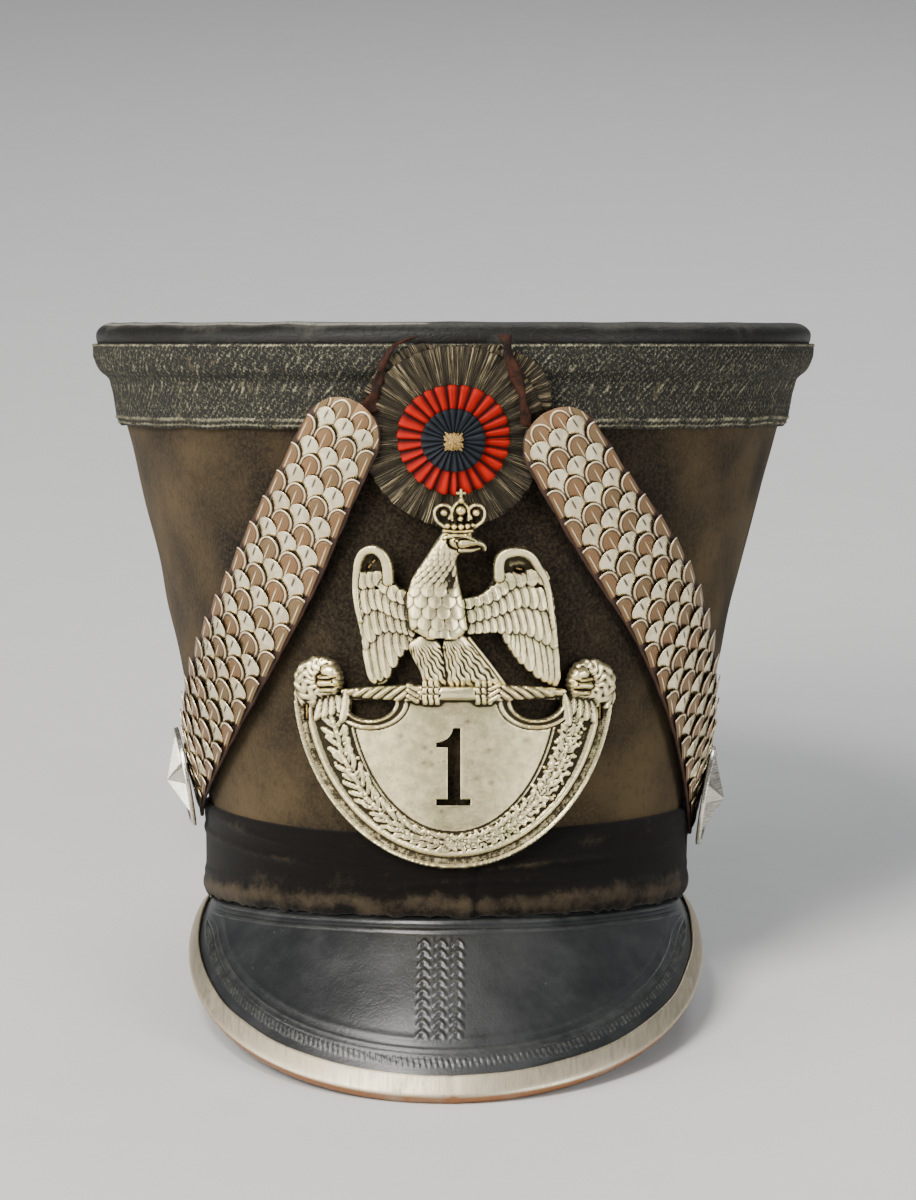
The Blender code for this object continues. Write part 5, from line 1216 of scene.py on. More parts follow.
def layShield(relief):
    # bands between two ellipses, a smooth field inside them, mouldings round the openings, the twisted bar
    s, u, v = shield, relief.u, relief.v
    far = np.hypot(u, v - s["centre"]) + 1e-6
    outer = far / np.hypot(u / s["half"], (v - s["centre"]) / s["deep"])
    inner = far / np.hypot(u / s["innerHalf"], (v - s["centre"]) / s["innerDeep"])
    inward, toField = outer - far, far - inner
    rise = np.interp(inward, column(plate["rim"], "in"), column(plate["rim"], "rise"))
    field = step(-toField, 0.1, 0.5)
    line = bell(toField, 0.75, 0.32)
    speckle = np.sin(5.1 * u + 2 * np.sin(3.7 * v)) * np.sin(4.7 * v + 2 * np.sin(4.3 * u))
    mottle = np.sin(1.3 * u + 2 * np.sin(0.9 * v)) * np.sin(1.1 * v + 2 * np.sin(0.8 * u))
    rise = rise + (0.10 * speckle + 0.45 * line) * (1 - field) + 0.25 * field
    channel, ground = bell(inward, 2.6, 1.0), step(inward, 6.0, 6.6)
    dark = (0.36 * channel * (1 + 0.5 * mottle + 0.3 * speckle) + 0.5 * ground) * (1 - field) * (1 - line)
    top = s["top"] - 2.2 * step(np.abs(u), 44.5, 48.0)
    relief.lay(everywhere, np.minimum(inward, top - v), rise, dark + 0.6 * bell(toField, 0.1, 0.25))
    for side, kind in ((-1, "laurel"), (1, "oak")):
        laySprig(relief, side, kind)
    mu = np.abs(u)
    reach = np.hypot((mu - s["notch"]) / s["notchHalf"], (v - s["notchTop"]) / s["notchDeep"])
    out = (reach - 1) * (s["notchHalf"] + s["notchDeep"]) * 0.5
    moulding = np.interp(out, column(plate["moulding"], "in"), column(plate["moulding"], "rise"))
    edge = np.minimum(np.minimum(4.2 - out, out + 0.2), s["top"] - v)
    edge = np.minimum(edge, step(mu, 37.5, 36.0) * 9)
    relief.lay(everywhere, edge, moulding, 0.45 * bell(out, 1.8, 0.5) + 0.6 * bell(out, 4.1, 0.3), False)
    relief.inside = np.where((v < s["notchTop"]) & (mu < 37), np.minimum(relief.inside, out), relief.inside)
    half = np.interp(mu, column(s["barHalf"], "at"), column(s["barHalf"], "half"))
    off = v - s["barLevel"]
    twist = np.sin(fullTurn * (mu + 1.2 * off) / s["twist"])
    twisted = step(mu, 13.5, 14.5)
    arch = quarter(off / half)
    bar = 1.0 + 1.8 * arch + 0.5 * twisted * (np.abs(twist) ** 0.6 * np.sign(twist))
    relief.lay(everywhere, np.minimum(half - np.abs(off), s["bar"] - mu), bar,
               0.7 * twisted * bell(twist, -1, 0.35) + 0.6 * bell(np.abs(off), half, 0.35))
    for claw in s["claws"]:  # three toes of each foot, then the knot beside them
        for k in range(3):
            middle = claw["inner"] + s["clawStep"] * k
            for upper, lower in s["clawJoints"]:
                relief.ridge(((middle, upper), (middle + 0.3, lower)), 0.95, 3.4)
        for level, lean in s["knot"]:
            relief.ridge(((claw["side"] * s["knotFrom"], level - 0.5 * lean),
                          (claw["side"] * s["knotTo"], level + 0.5 * lean)), 0.9, 3.0)
    for spot in stains:
        relief.smudge(spot["at"], (spot["radius"], 0.8 * spot["radius"]), 0.55)


def laySprig(relief, side, kind):
    # leaves in threes up the middle of the border, those lower down over those above
    s = shield
    a, b = s["innerHalf"] + 6.2, s["innerDeep"] + 3.2
    rng = np.random.default_rng(7 if side < 0 else 8)
    for turn in np.radians(np.linspace(80, -6, 25)):
        root = np.array([side * a * math.sin(turn), s["centre"] - b * math.cos(turn)])
        ahead = np.array([side * a * math.cos(turn), b * math.sin(turn)])
        ahead /= math.hypot(*ahead)
        outward = np.array([ahead[1], -ahead[0]]) * side
        wide = 3.0 + 2.0 * math.sin(turn)
        for lean in (-1.0, 1.0, 0.12):
            lean = lean + rng.uniform(-0.2, 0.2)
            tip = root + ahead * rng.uniform(4.4, 5.8) + outward * lean * wide * 0.8
            if kind == "laurel":
                relief.feather(root, tip, 0.85, 0.95, 0.4, 0.3 * lean, grow=False, point=2.4, shaft=-0.18)
            else:
                relief.feather(root, tip, 1.4, 1.0, 0.4, 0.3 * lean, lobes=2, grow=False, shaft=-0.1)
        for _ in range(2 if kind == "laurel" else 4):
            knob = root + outward * rng.uniform(-0.9, 0.9) * wide + ahead * rng.uniform(0, 4)
            relief.dot(knob, rng.uniform(0.5, 0.8), 1.6, False)


def layLion(relief, side):
    # mane: wavy strands combed round the face; face: forehead, brow, nose, jaw and a curl, turned inwards
    c = np.array([side * 43.9 + 0.5, 2.7 - 0.5 * side])
    here = relief.near([c], 10.5)
    u, v = (relief.u[here] - c[0]) * -side, relief.v[here] - c[1]
    far, angle = np.hypot(u - 3.2, v - 0.6), np.arctan2(v - 0.6, u - 3.2)
    head = 7.9 - np.hypot(u, v) + 0.22 * np.sin(15 * angle) - 0.5 * step(u, 4.0, 7.5)
    neck = 5.2 - np.hypot(u + 3.2, (v + 4.6) * 1.2) + 0.2 * np.sin(3.1 * u)
    curl = np.sin(15 * angle + 2.3 * np.sin(1.2 * far + 2 * angle))
    curl = curl * (0.7 + 0.3 * np.sin(2.6 * far + 5 * angle))
    dome = 1.2 + 2.6 * np.sqrt(np.clip(1 - (u ** 2 + v ** 2) / 68.0, 0, 1))
    for depth in (neck, head):
        relief.lay(here, depth, dome + 0.35 * curl, 0.6 * bell(curl, -1, 0.5) + 0.5 * bell(depth, 0, 0.5))

    def place(du, dv):
        # so far inwards and up from the middle of the head
        return c + np.array([-side * du, dv])

    for k in range(4):  # locks under the jaw, down to the sprig
        relief.feather(place(0.6 + 1.7 * k, -5.0 + 0.2 * k), place(-1.0 + 2.6 * k, -13.2 + 0.9 * k),
                       1.3, 1.0, 0.8, 0.5, grow=False, point=2.2)
    relief.feather(place(8.9, -3.0), place(7.4, -13.8), 1.3, 1.3, 0.8, 0.5, point=2.4)
    for row in face:
        relief.ridge((place(*row["from"]), place(*row["to"])), row["half"], row["rise"], grow=False)
    for spot in faceShadows:
        relief.smudge(place(*spot["at"]), (spot["half"], 0.8 * spot["half"]), 0.7)


def layWing(relief, wing):
    # a low bed inside the outline, rows of feathers from the longest up, the outer ones first, then the rim
    # and the holes, with painted shade round the holes
    bed = insideOf(curve(wing["outline"]), relief.u, relief.v)
    relief.lay(everywhere, bed, 0.5, 0.32)
    for level, row in enumerate(wing["rows"]):
        at = np.linspace(0, 3, row["count"])
        roots, tips = (np.stack([np.interp(at, range(4), np.array(row[key])[:, k]) for k in (0, 1)], -1)
                       for key in ("roots", "tips"))
        gap = np.hypot(*np.gradient(0.4 * roots + 0.6 * tips, axis=0).T)
        order = range(row["count"]) if wing["side"] < 0 else range(row["count"] - 1, -1, -1)
        for k in order:
            relief.feather(roots[k], tips[k], 0.68 * gap[k], 0.85, 0.45 + 0.35 * level, 0.25 * wing["side"],
                           grow=level == 0, cover=None if level == 0 else bed, point=row["point"])
    for hole in wing["holes"]:
        # painted shade round each hole
        relief.smudge(hole["at"], (2.4, 2.2), 0.28)
    relief.ridge(curve(wing["arch"]), 1.85, 2.6, 0.05, end=0.8, power=4)
    for hole in wing["holes"]:
        (u, v), (wide, tall) = hole["at"], hole["half"]
        reach = np.hypot((relief.u - u) / wide, (relief.v - v) / tall)
        reach = reach + 0.15 * np.sin(3.1 * relief.u + 2.3 * relief.v)
        # painted shade at the hole's edge
        relief.dark += 0.8 * bell(reach, 0.9, 0.5)
        relief.inside = np.minimum(relief.inside, (reach - 1) * min(wide, tall))


def layBody(relief):
    # each trunk: height = rise * (0.25 + 0.75 * quarter circle either side of its middle); strands fan out
    # over the thighs, small feathers lie over the rest
    for trunk in trunks:
        level, left, right = (column(trunk["edges"], key) for key in ("level", "left", "right"))
        a, b = smoothAt(relief.v, level, left), smoothAt(relief.v, level, right)
        mid, half = 0.5 * (a + b), 0.5 * (b - a)
        off = relief.u - mid
        depth = np.minimum(half - np.abs(off), np.minimum(relief.v - level[0], level[-1] - relief.v) + 0.2)
        dome = trunk["rise"] * (0.25 + 0.75 * quarter(off / (half + 0.4)))
        if "fan" in trunk:
            u, v = relief.u - trunk["fan"][0], trunk["fan"][1] - relief.v
            r, angle = np.hypot(u, v), np.arctan2(u, v)
            strand = np.sin(75 * angle + 0.9 * np.sin(1.5 * r + 9 * angle))
            strand = strand * (0.7 + 0.3 * np.sin(0.9 * r + 23 * angle))
            lower = step(-relief.v, 1.2 - level[-1], 5.0 - level[-1])
            relief.lay(everywhere, depth, dome + 0.42 * lower * strand,
                       lower * (0.18 + 0.7 * bell(strand, -0.9, 0.5)) + 0.6 * bell(depth, 0, 0.4))
            continue
        relief.lay(everywhere, depth, dome, 0.5)
        for row in plumage:
            for k, v in enumerate(np.linspace(row["from"], row["to"], row["rows"])):
                a, b = np.interp(v, level, left), np.interp(v, level, right)
                spread = (b - a) / row["across"]
                for u in a + spread * (np.arange(row["across"] + k % 2) + 0.5 - 0.5 * (k % 2)):
                    lean = row["lean"] + 0.10 * (u - 0.5 * (a + b)) + 0.3 * math.sin(7.0 * u + 3.0 * v)
                    root = (u - lean * 0.5, v + row["long"] * 0.6)
                    tip = (u + lean * 0.5, v - row["long"] * 0.4)
                    half = max(row["half"], 0.54 * spread * (row["half"] > 2))
                    relief.feather(root, tip, half, row["rise"], dome - 0.5,
                                   grow=False, cover=depth, point=row["point"], shaft=0.04)
    for row in ridges:
        points = curve(row["points"]) if len(row["points"]) > 2 else row["points"]
        relief.ridge(points, row["half"], row["rise"], end=row["end"])
    for stone in stones:
        relief.dot(stone["at"], stone["half"], 3.6)
    for spot in shadows:
        relief.smudge(spot["at"], spot["half"], spot["strength"])
    relief.high *= 0.2 + 0.8 * step(relief.v, 1.0, 4.4)
    relief.inside = np.minimum(relief.inside, relief.v - plate["eagle"]["low"] - 0.3)


def buildPlate():
    # the two reliefs, each thickened to a sheet, with the openings cut out, and pins seen through the holes
    relief = Relief(plate["eagle"])
    for wing in wings:
        layWing(relief, wing)
    layBody(relief)
    eagle = relief.piece("plate_eagle", plateSilver, 0.1)
    relief = Relief(plate["shield"])
    layShield(relief)
    for side in (-1, 1):
        layLion(relief, side)
    u, v = relief.u, relief.v
    for box in pierced:
        across = np.maximum(box["left"] - u, u - box["right"])
        up = np.maximum(box["low"] - v, v - box["high"])
        relief.inside = np.minimum(relief.inside, np.maximum(across, up))
    circle = flag["radius"] - np.hypot(u - flag["centre"][0], v - flag["centre"][1])
    out = np.maximum(np.maximum(circle, flag["left"] - u), np.maximum(u - flag["right"], v - flag["high"]))
    relief.inside = np.minimum(relief.inside, np.maximum(out, flag["low"] - v))
    lower = relief.piece("plate_shield", plateSilver)
    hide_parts("front_plate")
    ends = np.array([[row["start"], row["end"]] for row in pins])
    pin = joinedPiece("plate_pins", tubes(onPlate(ends[..., 0], ends[..., 1], 1.1), 0.28, 8), goldThread)
    return [eagle, lower, pin]


# Chin strap halves.

straps = {
    "left": {"side": -1.0, "path": table("azimuth height", (83.0, 40.0), (69.5, 53.5), (55.0, 72.0),
        (40.0, 98.5), (26.8, 131.0), (15.3, 165.0))},
    "right": {"side": 1.0, "path": table("azimuth height", (83.0, 33.5), (70.5, 54.0), (57.0, 78.0),
        (42.5, 105.0), (26.6, 134.0), (15.0, 161.4))},
    "shape": table("share width out", (0.0, 24.0, 2.5), (0.18, 30.0, 3.2), (0.5, 31.0, 3.6),
        (0.7, 29.5, 3.6), (0.86, 26.0, 5.6), (1.0, 23.6, 8.2)),
    # once round the leather's section: share of the half width, and share of the thickness times 1.4
    "section": table("across lift", (-1, 0.7), (-0.98, 1.3), (-0.6, 1.4), (0, 1.4), (0.6, 1.4), (0.98, 1.3),
        (1, 0.7), (0.98, 0.1), (0.6, 0), (0, 0), (-0.6, 0), (-0.98, 0.1)),
    "leather": 1.4, "edge": 0.5, "stations": 90, "ragged": 0.25,
    "pitch": 11.2, "lobesAcross": 3.3, "metal": 0.42, "slope": 0.15, "bossSlope": 0.05, "tail": 8.0,
    "crossFall": 1.3,
    # the two kinds of scale: offset and limit across in lobes, wide as a share, the others in millimetres
    "engraved": {"offset": 0.5, "limit": 1.65, "reach": 4.4, "back": 0, "wide": 1.0, "dome": 0.55,
                 "lift": 0.12, "seed": 71},
    "bright": {"offset": 0.0, "limit": 1.5, "reach": 4.0, "back": 5.6, "wide": 0.94, "dome": 0.70,
               "lift": 0.0, "seed": 72},
}


class StrapLine:
    # the middle line of one half on the crown, read by length from the boss
    def __init__(self, half):
        knots = np.arange(len(half["path"]))
        fine = np.linspace(0, len(knots) - 1, 241)
        self.azimuth = smoothAt(fine, knots, np.radians(column(half["path"], "azimuth"))) * half["side"]
        self.height = smoothAt(fine, knots, column(half["path"], "height"))
        self.at = lengths(onCrown(self.azimuth, self.height))
        self.length = self.at[-1]

    def point(self, along, across, out):
        # step along and across the line on the crown's surface, then stand off it
        inside = np.clip(along, 0, self.length)
        azimuth, height = np.interp(inside, self.at, self.azimuth), np.interp(inside, self.at, self.height)
        ahead, behind = np.minimum(inside + 2, self.length), np.maximum(inside - 2, 0)
        turn = np.interp(ahead, self.at, self.azimuth) - np.interp(behind, self.at, self.azimuth)
        climb = np.interp(ahead, self.at, self.height) - np.interp(behind, self.at, self.height)
        radius = np.hypot(halfWidth(height) * np.cos(azimuth), halfDepth(height) * np.sin(azimuth))
        run = np.hypot(turn * radius, climb)
        roundWay, up = turn * radius / run, climb / run
        over = along - inside
        azimuth = azimuth + (over * roundWay - across * up) / radius
        height = height + over * up + across * roundWay
        return onCrown(azimuth, height, out)

    def shape(self, along, key):
        # width or stand off at a length from the boss
        share = np.clip(along / self.length, 0, 1)
        return smoothAt(share, column(straps["shape"], "share"), column(straps["shape"], key))


def lobeStations(offset, limit):
    # positions across in lobes, bunched at the valleys between lobes
    middles = np.arange(-3, 4) + offset
    turn = np.linspace(0, math.pi, 10)
    q = (middles[:, None] - 0.5 * np.cos(turn)).ravel()
    return np.unique(np.round(np.clip(q, -limit, limit), 5))


def scaleRows(line, name, engraved):
    # each scale is a thin curved plate: its free edge is scalloped and lies over the next scale up the strap;
    # stand off = strap + tilt * distance from the lobe's spring + dome of the lobe - fall towards the edges
    s, kind = straps, straps["engraved" if engraved else "bright"]
    count = int((line.length + 2) / s["pitch"]) + 1
    first = line.length + 4.5 - s["engraved"]["reach"] - (count - 1) * s["pitch"]
    base = first + np.arange(count) * s["pitch"] - kind["back"]
    if not engraved:
        base = base[base > -4]
    limit = s["lobesAcross"] * 0.5
    q = lobeStations(kind["offset"], kind["limit"])
    local = (q - kind["offset"] + 0.5) % 1.0
    m = np.abs(2 * local - 1)
    m = np.where(np.isin(np.round(local, 4), (0.0, 1.0)), 1.0, m)
    arch = quarter(m)[:, None] * np.full((len(base), 1, 1), kind["reach"])
    # painted shade: a dark line in the valleys beside each lobe, carried into the recess mark
    between = np.broadcast_to(bell(m, 1, 0.17)[:, None], arch.shape).copy()
    if engraved:  # the edge of the last plate is the round end of the strap
        bent = (1 - np.sqrt(1 - (q / limit) ** 2)) * 0.5 * line.shape(line.length, "width")
        arch[-1], between[-1] = (kind["reach"] + 0.5 - bent)[:, None], 0
    topShare = np.array([1.0, 0.985, 0.96, 0.9, 0.8, 0.65, 0.45, 0.22, 0.0])
    y = arch - (arch + s["tail"]) * (1 - topShare)
    tilt = np.interp(base, (10.0, 45.0), (s["bossSlope"], s["slope"]))[:, None, None]
    along = base[:, None, None] + y
    across = line.shape(along + 3, "width") * 0.5 * (q / limit)[:, None] * kind["wide"]
    dome = kind["dome"] * (1 - m[:, None] ** 2) * (0.5 + 0.5 * topShare)
    lift = 1.35 + tilt * (y + 1.0) + dome - s["crossFall"] * (q / limit)[:, None] ** 2 + kind["lift"]
    rng = np.random.default_rng(kind["seed"])
    lift = lift + 0.10 * rng.standard_normal((len(base), 1, 1))
    out = line.shape(along, "out") + s["leather"] + lift
    shift = rng.standard_normal((len(base), 1, 1)) * 0.12
    top = line.point(along + shift, across, out)
    thin = line.point(along + shift, across, out - s["metal"])
    edge = line.point(along[:, :, :1] + 0.06 + shift, across[:, :, :1], out[:, :, :1] - s["metal"] * 0.5)
    grid = np.concatenate([top[:, :, ::-1], edge, thin[:, :, ::3]], axis=2)
    # painted shade for the recess mark: under the next row up, fading towards it, and in the valleys between
    # lobes; less on the last plate
    paintedShade = 0.7 * (1 - step(y, -7.0, -5.2)) + 0.4 * (1 - step(y, -5.8, -2.0)) + 0.75 * between
    u = q + 0.5 - kind["offset"]
    if engraved:
        y[-1] += 1.0
        paintedShade[-1] *= 0.3
    uv = np.stack(np.broadcast_arrays(u[:, None], y), -1)
    uvs = np.concatenate([uv[:, :, ::-1], uv[:, :, :1], uv[:, :, ::3], uv[:, :, -1:]], axis=2)
    recess = np.concatenate([paintedShade[:, :, ::-1], paintedShade[:, :, :1], np.ones((len(base), len(q), 3))], axis=2)
    tone = rng.uniform(0, 1, (len(base), 8))[:, np.floor(u).astype(int) + 4][:, :, None]
    marks = {"recess": recess, "engraved": np.full((1, 1, 1), float(engraved)), "tone": tone}
    return joinedPiece(name, grid, scaleMetal, uvs, marks)


def buildStraps():
    # leather: its section carried along the line to a round end; then the two kinds of scale and the boss
    made = []
    ring = straps["section"]
    for name in ("left", "right"):
        half = straps[name]
        line = StrapLine(half)
        along = np.linspace(-6, line.length + 3.5, straps["stations"])[:, None]
        width = line.shape(along, "width") * 0.5 + straps["edge"]
        left = np.clip((line.length + 5.0 - along) / width, 0.05, 1)
        width = width * np.sqrt(1 - (1 - left) ** 2)
        out = line.shape(along, "out") + column(ring, "lift") * straps["leather"] / 1.4
        ragged = straps["ragged"] * wobble(along * 0.05, along, 81, rounds=(1, 3), pitch=(6, 30))
        across = column(ring, "across")
        grid = line.point(along + 0 * across, across * (width + ragged), out)
        strap = gridPiece("strap_leather_" + name, grid, strapLeather)
        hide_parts("chin_strap_" + name)
        engraved = scaleRows(line, "scales_engraved_" + name, True)
        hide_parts("chin_scales_" + name)
        bright = scaleRows(line, "scales_bright_" + name, False)
        made += [strap, engraved, bright, buildBoss(name, half)]
    return made


# Star bosses.

boss = {"radius": 17.2, "out": 6.5, "disc": 1.0, "points": 5, "tip": 15.6, "waist": 7.0, "high": 7.0,
        "bead": 0.7, "beadHalf": 0.85, "columnsEach": 20, "sharp": 14}


def buildBoss(name, half):
    # height = disc + bead round the edge + star pyramid that falls to 0 on the star's outline
    b = boss
    sector = math.pi / b["points"]
    turn = roundAngles(b["columnsEach"] * b["points"])
    r = np.concatenate([np.linspace(0.02, 0.9, 22) * b["tip"], np.linspace(0.92, 1.1, 14) * b["tip"]])
    r = r[r < b["radius"]]
    r = np.append(r, b["radius"])[:, None]
    fold = np.abs((turn / sector + 1) % 2 - 1) * sector
    slant = b["tip"] * np.sin(fold) + b["waist"] * np.sin(sector - fold)
    reach = b["tip"] * b["waist"] * math.sin(sector) / slant
    star = (b["high"] - b["disc"]) * np.clip(1 - r / reach, 0, 1)
    groove = -0.35 * bell(r, reach + 0.25, 0.25)
    bead = b["bead"] * quarter((r - b["radius"] + b["beadHalf"]) / b["beadHalf"])
    high = b["disc"] + star + bead + groove * (r < b["tip"])
    x, y = r * np.cos(turn), r * np.sin(turn)
    front = np.stack([x, y, high], -1)
    back = np.stack([x, y, 0 * high], -1)[[-1, 0]]
    grid = np.concatenate([front, back])
    recess = np.concatenate([0.55 * bell(r, reach + 0.3, 0.5) + 0 * high, np.ones((2, len(turn)))])
    foot = half["path"][0]
    azimuth, height = math.radians(foot["azimuth"]) * half["side"], foot["height"]
    centre = onCrown(azimuth, height, b["out"])
    up = onCrown(azimuth, height + 8.0) - onCrown(azimuth, height - 8.0)
    roundWay = onCrown(azimuth + 0.1, height) - onCrown(azimuth - 0.1, height)
    outward = np.cross(roundWay, up)
    outward, axisX = outward / np.linalg.norm(outward), up / np.linalg.norm(up)
    axisY = np.cross(outward, axisX)
    grid = centre + grid[..., :1] * axisX + grid[..., 1:2] * axisY + grid[..., 2:] * outward
    piece = gridPiece("star_boss_" + name, grid, bossSilver, marks={"recess": recess})
    piece.data.set_sharp_from_angle(angle=math.radians(b["sharp"]))
    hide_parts("boss_" + name)
    return piece


# Cockade.

cockade = {
    "height": 158.3, "shift": 0.6, "bend": 115.0, "lean": 12.0, "out": 3.7, "flatTop": 30.4, "pleats": 26,
    # from the back to the front; name is the CAD node, and the last column is how far the fold mark falls at
    # the left and right sides, which paints shade there
    "layers": table("name piece radius right raise thick pleat level hole fine flanks",
        ("cockade_back", "cockade_rear_disc", 30.8, 0.0, 3.0, 1.4, 0.7, 0.0, 8.0, 13, 0),
        ("", "cockade_side_loop", 17.6, 14.4, 11.2, 1.0, 0.6, 0.9, 3.0, 9, 0),
        ("cockade_pleats", "cockade_hair_ring", 30.2, 0.0, 0.5, 1.9, 1.1, 1.9, 12.0, 26, 0.7),
        ("cockade_red", "cockade_red_ring", 18.4, 0.0, 0.0, 1.6, 1.25, 3.9, 6.0, 18, 0),
        ("cockade_blue", "cockade_navy_disc", 10.6, 0.0, 0.0, 1.4, 0.9, 5.8, 0.6, 18, 0)),
    "knot": {"radius": 3.4, "level": 7.5, "strands": 22, "thread": 0.34},
}


def onCockade(points):
    # from the cockade's own plane (right, up, front) to the hat's frame, bent back by x^2 / (2 * radius)
    p = np.array(points, float)
    p[..., 2] -= p[..., 0] ** 2 / (2 * cockade["bend"])
    lean = math.radians(90 + cockade["lean"])
    up = np.array([0, math.cos(lean), math.sin(lean)])
    front = np.array([0, -math.sin(lean), math.cos(lean)])
    centre = onCrown(0.0, cockade["height"], cockade["out"]) + cockade["shift"] * hatRight
    return centre + p[..., :1] * hatRight + p[..., 1:2] * up + p[..., 2:] * front


def pleatedLayer(row, finish, hair):
    # knife pleats: each rises slowly and drops sharply round the ring, and they fade towards the middle
    pleats = cockade["pleats"]
    turn = roundAngles(pleats * row["fine"])
    rng = np.random.default_rng(int(row["radius"] * 10))
    shift = np.interp(turn, np.linspace(0, fullTurn, pleats + 1),
                      np.append(rng.uniform(-0.16, 0.16, pleats), 0.0))
    phase = (turn * pleats / fullTurn + shift) % 1.0
    ridge = np.where(phase < 0.72, phase / 0.72, (1 - phase) / 0.28)
    if hair:
        ridge = 0.5 - 0.5 * np.cos(fullTurn * phase)
    r = np.linspace(row["hole"], row["radius"], 30 if hair else 20)[:, None]
    share = r / row["radius"]
    uneven = 1 + 0.012 * np.sin(3 * turn + row["radius"]) * share
    if hair:
        uneven = uneven + 0.010 * wobble(turn, 0 * turn, 91, rounds=(5, 60), count=14) * share
    else:
        uneven = uneven - 0.020 * (1 - ridge) * share ** 6
    fold = row["pleat"] * ridge * share ** 0.8
    strands = 0.16 * wobble(turn, 4 * r, 92, rounds=(60, 190), count=14, pitch=(40, 90)) if hair else 0.0
    front = row["thick"] - row["pleat"] * 0.75 + fold + strands
    front = front - 0.5 * step(share, 0.93, 1.0)
    x = r * uneven * np.cos(turn)
    y = np.minimum(r * uneven * np.sin(turn), cockade["flatTop"] - row["raise"])
    back = np.stack([x, y, 0 * x], -1)[[-1, -6, 0]]
    grid = np.concatenate([np.stack([x, y, front + 0 * x], -1), back])
    grid = grid + np.array([row["right"], row["raise"], row["level"]])
    # painted shade: the fold mark falls at the left and right of the ring, so its finish paints those sides
    # darker
    ridge = ridge * (1 - row["flanks"] * np.cos(turn) ** 4)
    # the fold mark: low in the pleat valleys, where the finishes paint shade
    mark = np.concatenate([np.broadcast_to(ridge, x.shape), np.zeros((3, len(turn)))])
    around = np.linspace(0, fullTurn * row["radius"] * 0.8, len(turn) + 1)
    along = np.concatenate([r[:, 0], r[[-1, -6, 0], 0]])
    piece = gridPiece(row["piece"], onCockade(grid), finish, patternUv(around, along), {"fold": mark})
    if row["name"]:
        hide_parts(row["name"])
    return piece


def buildCockade():
    # the pleated layers, then threads that cross on a small square, each bent a little from edge to edge
    layers = cockade["layers"]
    made = [pleatedLayer(row, hairGrey, True) for row in layers[:3]]
    made += [pleatedLayer(layers[3], silkRed, False), pleatedLayer(layers[4], silkBlue, False)]
    k = cockade["knot"]
    rng = np.random.default_rng(95)
    turn = np.linspace(0, math.pi, k["strands"], endpoint=False) + rng.uniform(-0.1, 0.1, k["strands"])
    square = np.maximum(np.abs(np.cos(turn)), np.abs(np.sin(turn)))
    reach = k["radius"] * rng.uniform(0.7, 0.95, k["strands"]) / square
    t = np.linspace(-1, 1, 11)
    bend = rng.uniform(-0.5, 0.5, k["strands"])[:, None] * (1 - t ** 2)
    x = reach[:, None] * t * np.cos(turn)[:, None] - bend * np.sin(turn)[:, None]
    y = reach[:, None] * t * np.sin(turn)[:, None] + bend * np.cos(turn)[:, None]
    z = k["level"] + 0.2 + 0.7 * (1 - t ** 2) + rng.uniform(0, 0.5, k["strands"])[:, None]
    strands = tubes(onCockade(np.stack([x, y, z], -1)), k["thread"] * (1.05 - 0.35 * t ** 4), 7)
    knot = joinedPiece("cockade_gold_knot", strands, goldThread)
    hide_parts("cockade_knot")
    return made + [knot]


# Ribbons.

ribbons = {
    # from the strap's end up behind the galloon's edge: degrees, level and stand off
    "left": table("azimuth height out", (-13.0, 166.0, 8.4), (-12.5, 169.5, 8.6), (-11.5, 173.5, 8.8),
        (-11.1, 177.0, 8.6), (-10.5, 180.6, 8.2), (-9.8, 184.2, 7.4), (-8.5, 187.8, 6.4),
        (-5.8, 190.6, 5.0)),
    "leftWidth": table("at half", (0, 4.0), (1, 3.4), (2, 1.5), (7, 1.7)), "leftThick": 0.7,
    # over the cockade's right side, in its own plane
    "right": table("right up front", (24.0, 4.0, 5.0), (23.2, 9.0, 5.3), (22.0, 15.0, 5.5),
        (20.2, 21.0, 5.3), (18.4, 27.0, 5.0), (17.2, 31.0, 4.4), (16.4, 34.2, 3.2)),
    "rightThick": 0.6, "stations": 60,
    # once round a ribbon's section: share of the half width, and side
    "section": table("across side", (-1, 0), (-0.6, 1), (-0.2, 1), (0.2, 1), (0.6, 1), (1, 0), (0.6, -1),
        (0.2, -1), (-0.2, -1), (-0.6, -1)),
}


def strip(points, wide, thick):
    # a flat ribbon: points (n, 3) down its middle, wide (n, 3) half width vectors, with rounded long edges
    along = np.gradient(points, axis=0)
    out = unit(np.cross(along, wide))
    across, side = column(ribbons["section"], "across"), column(ribbons["section"], "side")
    lift = side * thick * 0.5
    return points[:, None] + wide[:, None] * across[:, None] + out[:, None] * lift[:, None]


def routed(rows, keys):
    # smooth route through a table's rows: places along it counted in rows, and its columns there
    t = np.linspace(0, len(rows) - 1, ribbons["stations"])
    return t, [smoothAt(t, np.arange(len(rows)), column(rows, key)) for key in keys]


def buildRibbons():
    # each ribbon is a strip along its route; its half width vector swings a little as it goes
    t, (azimuth, height, out) = routed(ribbons["left"], ("azimuth", "height", "out"))
    middle = onCrown(np.radians(azimuth), height, out + 0.25)
    half = np.interp(t, column(ribbons["leftWidth"], "at"), column(ribbons["leftWidth"], "half"))
    half = half * (1 + 0.15 * np.sin(3 * t))
    wide = np.stack([half, 0.6 * np.sin(2.1 * t), 0.5 + 0.3 * np.sin(1.7 * t)], -1)
    left = gridPiece("ribbon_left", strip(middle, wide, ribbons["leftThick"]), ribbonSilk)
    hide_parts("tie_ribbon_left")
    t, places = routed(ribbons["right"], ("right", "up", "front"))
    middle = onCockade(np.stack(places, -1))
    wide = np.stack([1.7 + 0.5 * np.sin(2.2 * t + 1), 0.5 * np.sin(1.9 * t), -0.4 * np.cos(1.3 * t)], -1)
    right = gridPiece("ribbon_right", strip(middle, wide, ribbons["rightThick"]), ribbonSilk)
    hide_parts("tie_ribbon_right")
    return [left, right]


# Floor and light.

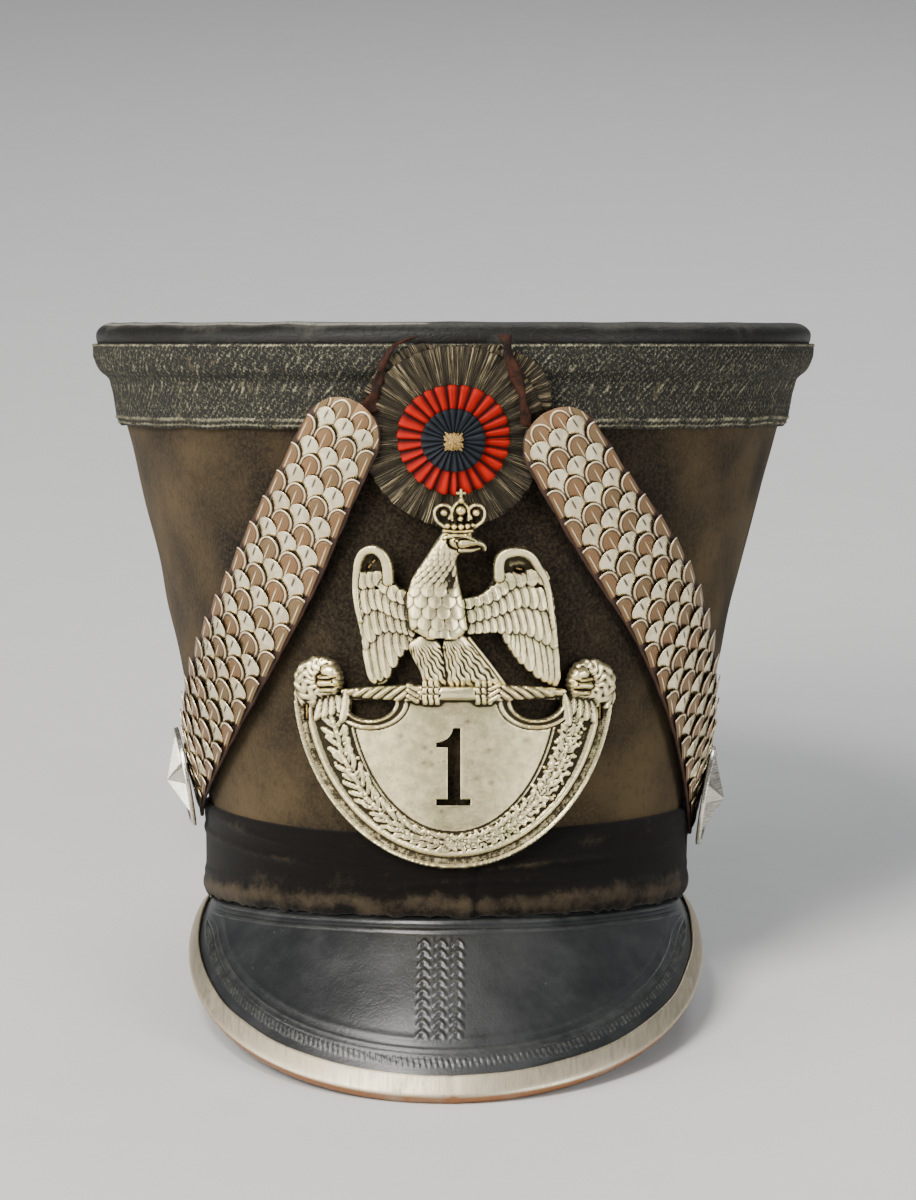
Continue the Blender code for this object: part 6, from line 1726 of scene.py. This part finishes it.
studio = {
    "floor": (0.62, 0.62, 0.61), "floorPale": (0.64, 0.64, 0.63), "floorDark": (0.60, 0.60, 0.59),
    "floorHalf": 9.0,
    "world": (0.42, 0.44, 0.47), "worldStrength": 0.38, "aim": (0, 0, 0.11),
    "lamps": table("name from size power colour",
        ("key", (-0.95, -1.15, 1.30), 0.7, 33.0, (1.0, 0.96, 0.90)),
        ("over", (-0.50, -0.80, 1.75), 0.55, 22.0, (1.0, 0.98, 0.95)),
        ("fill", (1.35, -1.15, 0.60), 1.0, 22.0, (0.98, 0.98, 0.98)),
        ("back", (0.35, 1.25, 1.45), 0.9, 14.0, (0.95, 0.97, 1.0)),
        ("low", (-0.95, -1.40, 0.25), 0.9, 5.0, (1.0, 0.99, 0.96)),
        ("side", (-1.35, -0.45, 0.40), 1.0, 15.0, (1.0, 0.98, 0.94))),
}


def buildStudio():
    # an area lamp at each place, turned to the middle of the hat, a plain sky and a wide floor
    for lamp in studio["lamps"]:
        light = bpy.data.objects.new("lamp_" + lamp["name"], bpy.data.lights.new(lamp["name"], "AREA"))
        bpy.context.scene.collection.objects.link(light)
        light.location = lamp["from"]
        toHat = Vector(studio["aim"]) - Vector(lamp["from"])
        light.rotation_euler = toHat.to_track_quat("-Z", "Y").to_euler()
        light.data.shape, light.data.size = "DISK", lamp["size"]
        light.data.energy, light.data.color = lamp["power"], lamp["colour"]
    world = bpy.data.worlds.new("studio")
    world.use_nodes = True
    sky = world.node_tree.nodes["Background"].inputs
    sky[0].default_value, sky[1].default_value = (*studio["world"], 1.0), studio["worldStrength"]
    bpy.context.scene.world = world
    size = studio["floorHalf"]
    mesh = bpy.data.meshes.new("floor")
    corners = [(-size, -size, 0), (size, -size, 0), (size, size, 0), (-size, size, 0)]
    mesh.from_pydata(corners, [], [(0, 1, 2, 3)])
    f = Finish("floor_pale", studio["floor"], 0.85)
    grain = f.noise(f.place(), 40.0, 3.0)
    mesh.materials.append(f.finish(f.mix(grain, studio["floorDark"], studio["floorPale"])))
    floor = bpy.data.objects.new("floor", mesh)
    bpy.context.scene.collection.objects.link(floor)


pieces = []
for part, build in (("felt crown", buildFelt), ("leather top", buildTop), ("galloon", buildGalloon),
                    ("head band", buildBand), ("peak", buildPeak), ("rim", buildRim), ("plate", buildPlate),
                    ("straps", buildStraps), ("cockade", buildCockade), ("ribbons", buildRibbons)):
    made = build()
    pieces += made if isinstance(made, list) else [made]
    print(part, "made")
buildStudio()
for piece in pieces:
    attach(piece, "root")
print(len(pieces), "pieces ride on the hat")
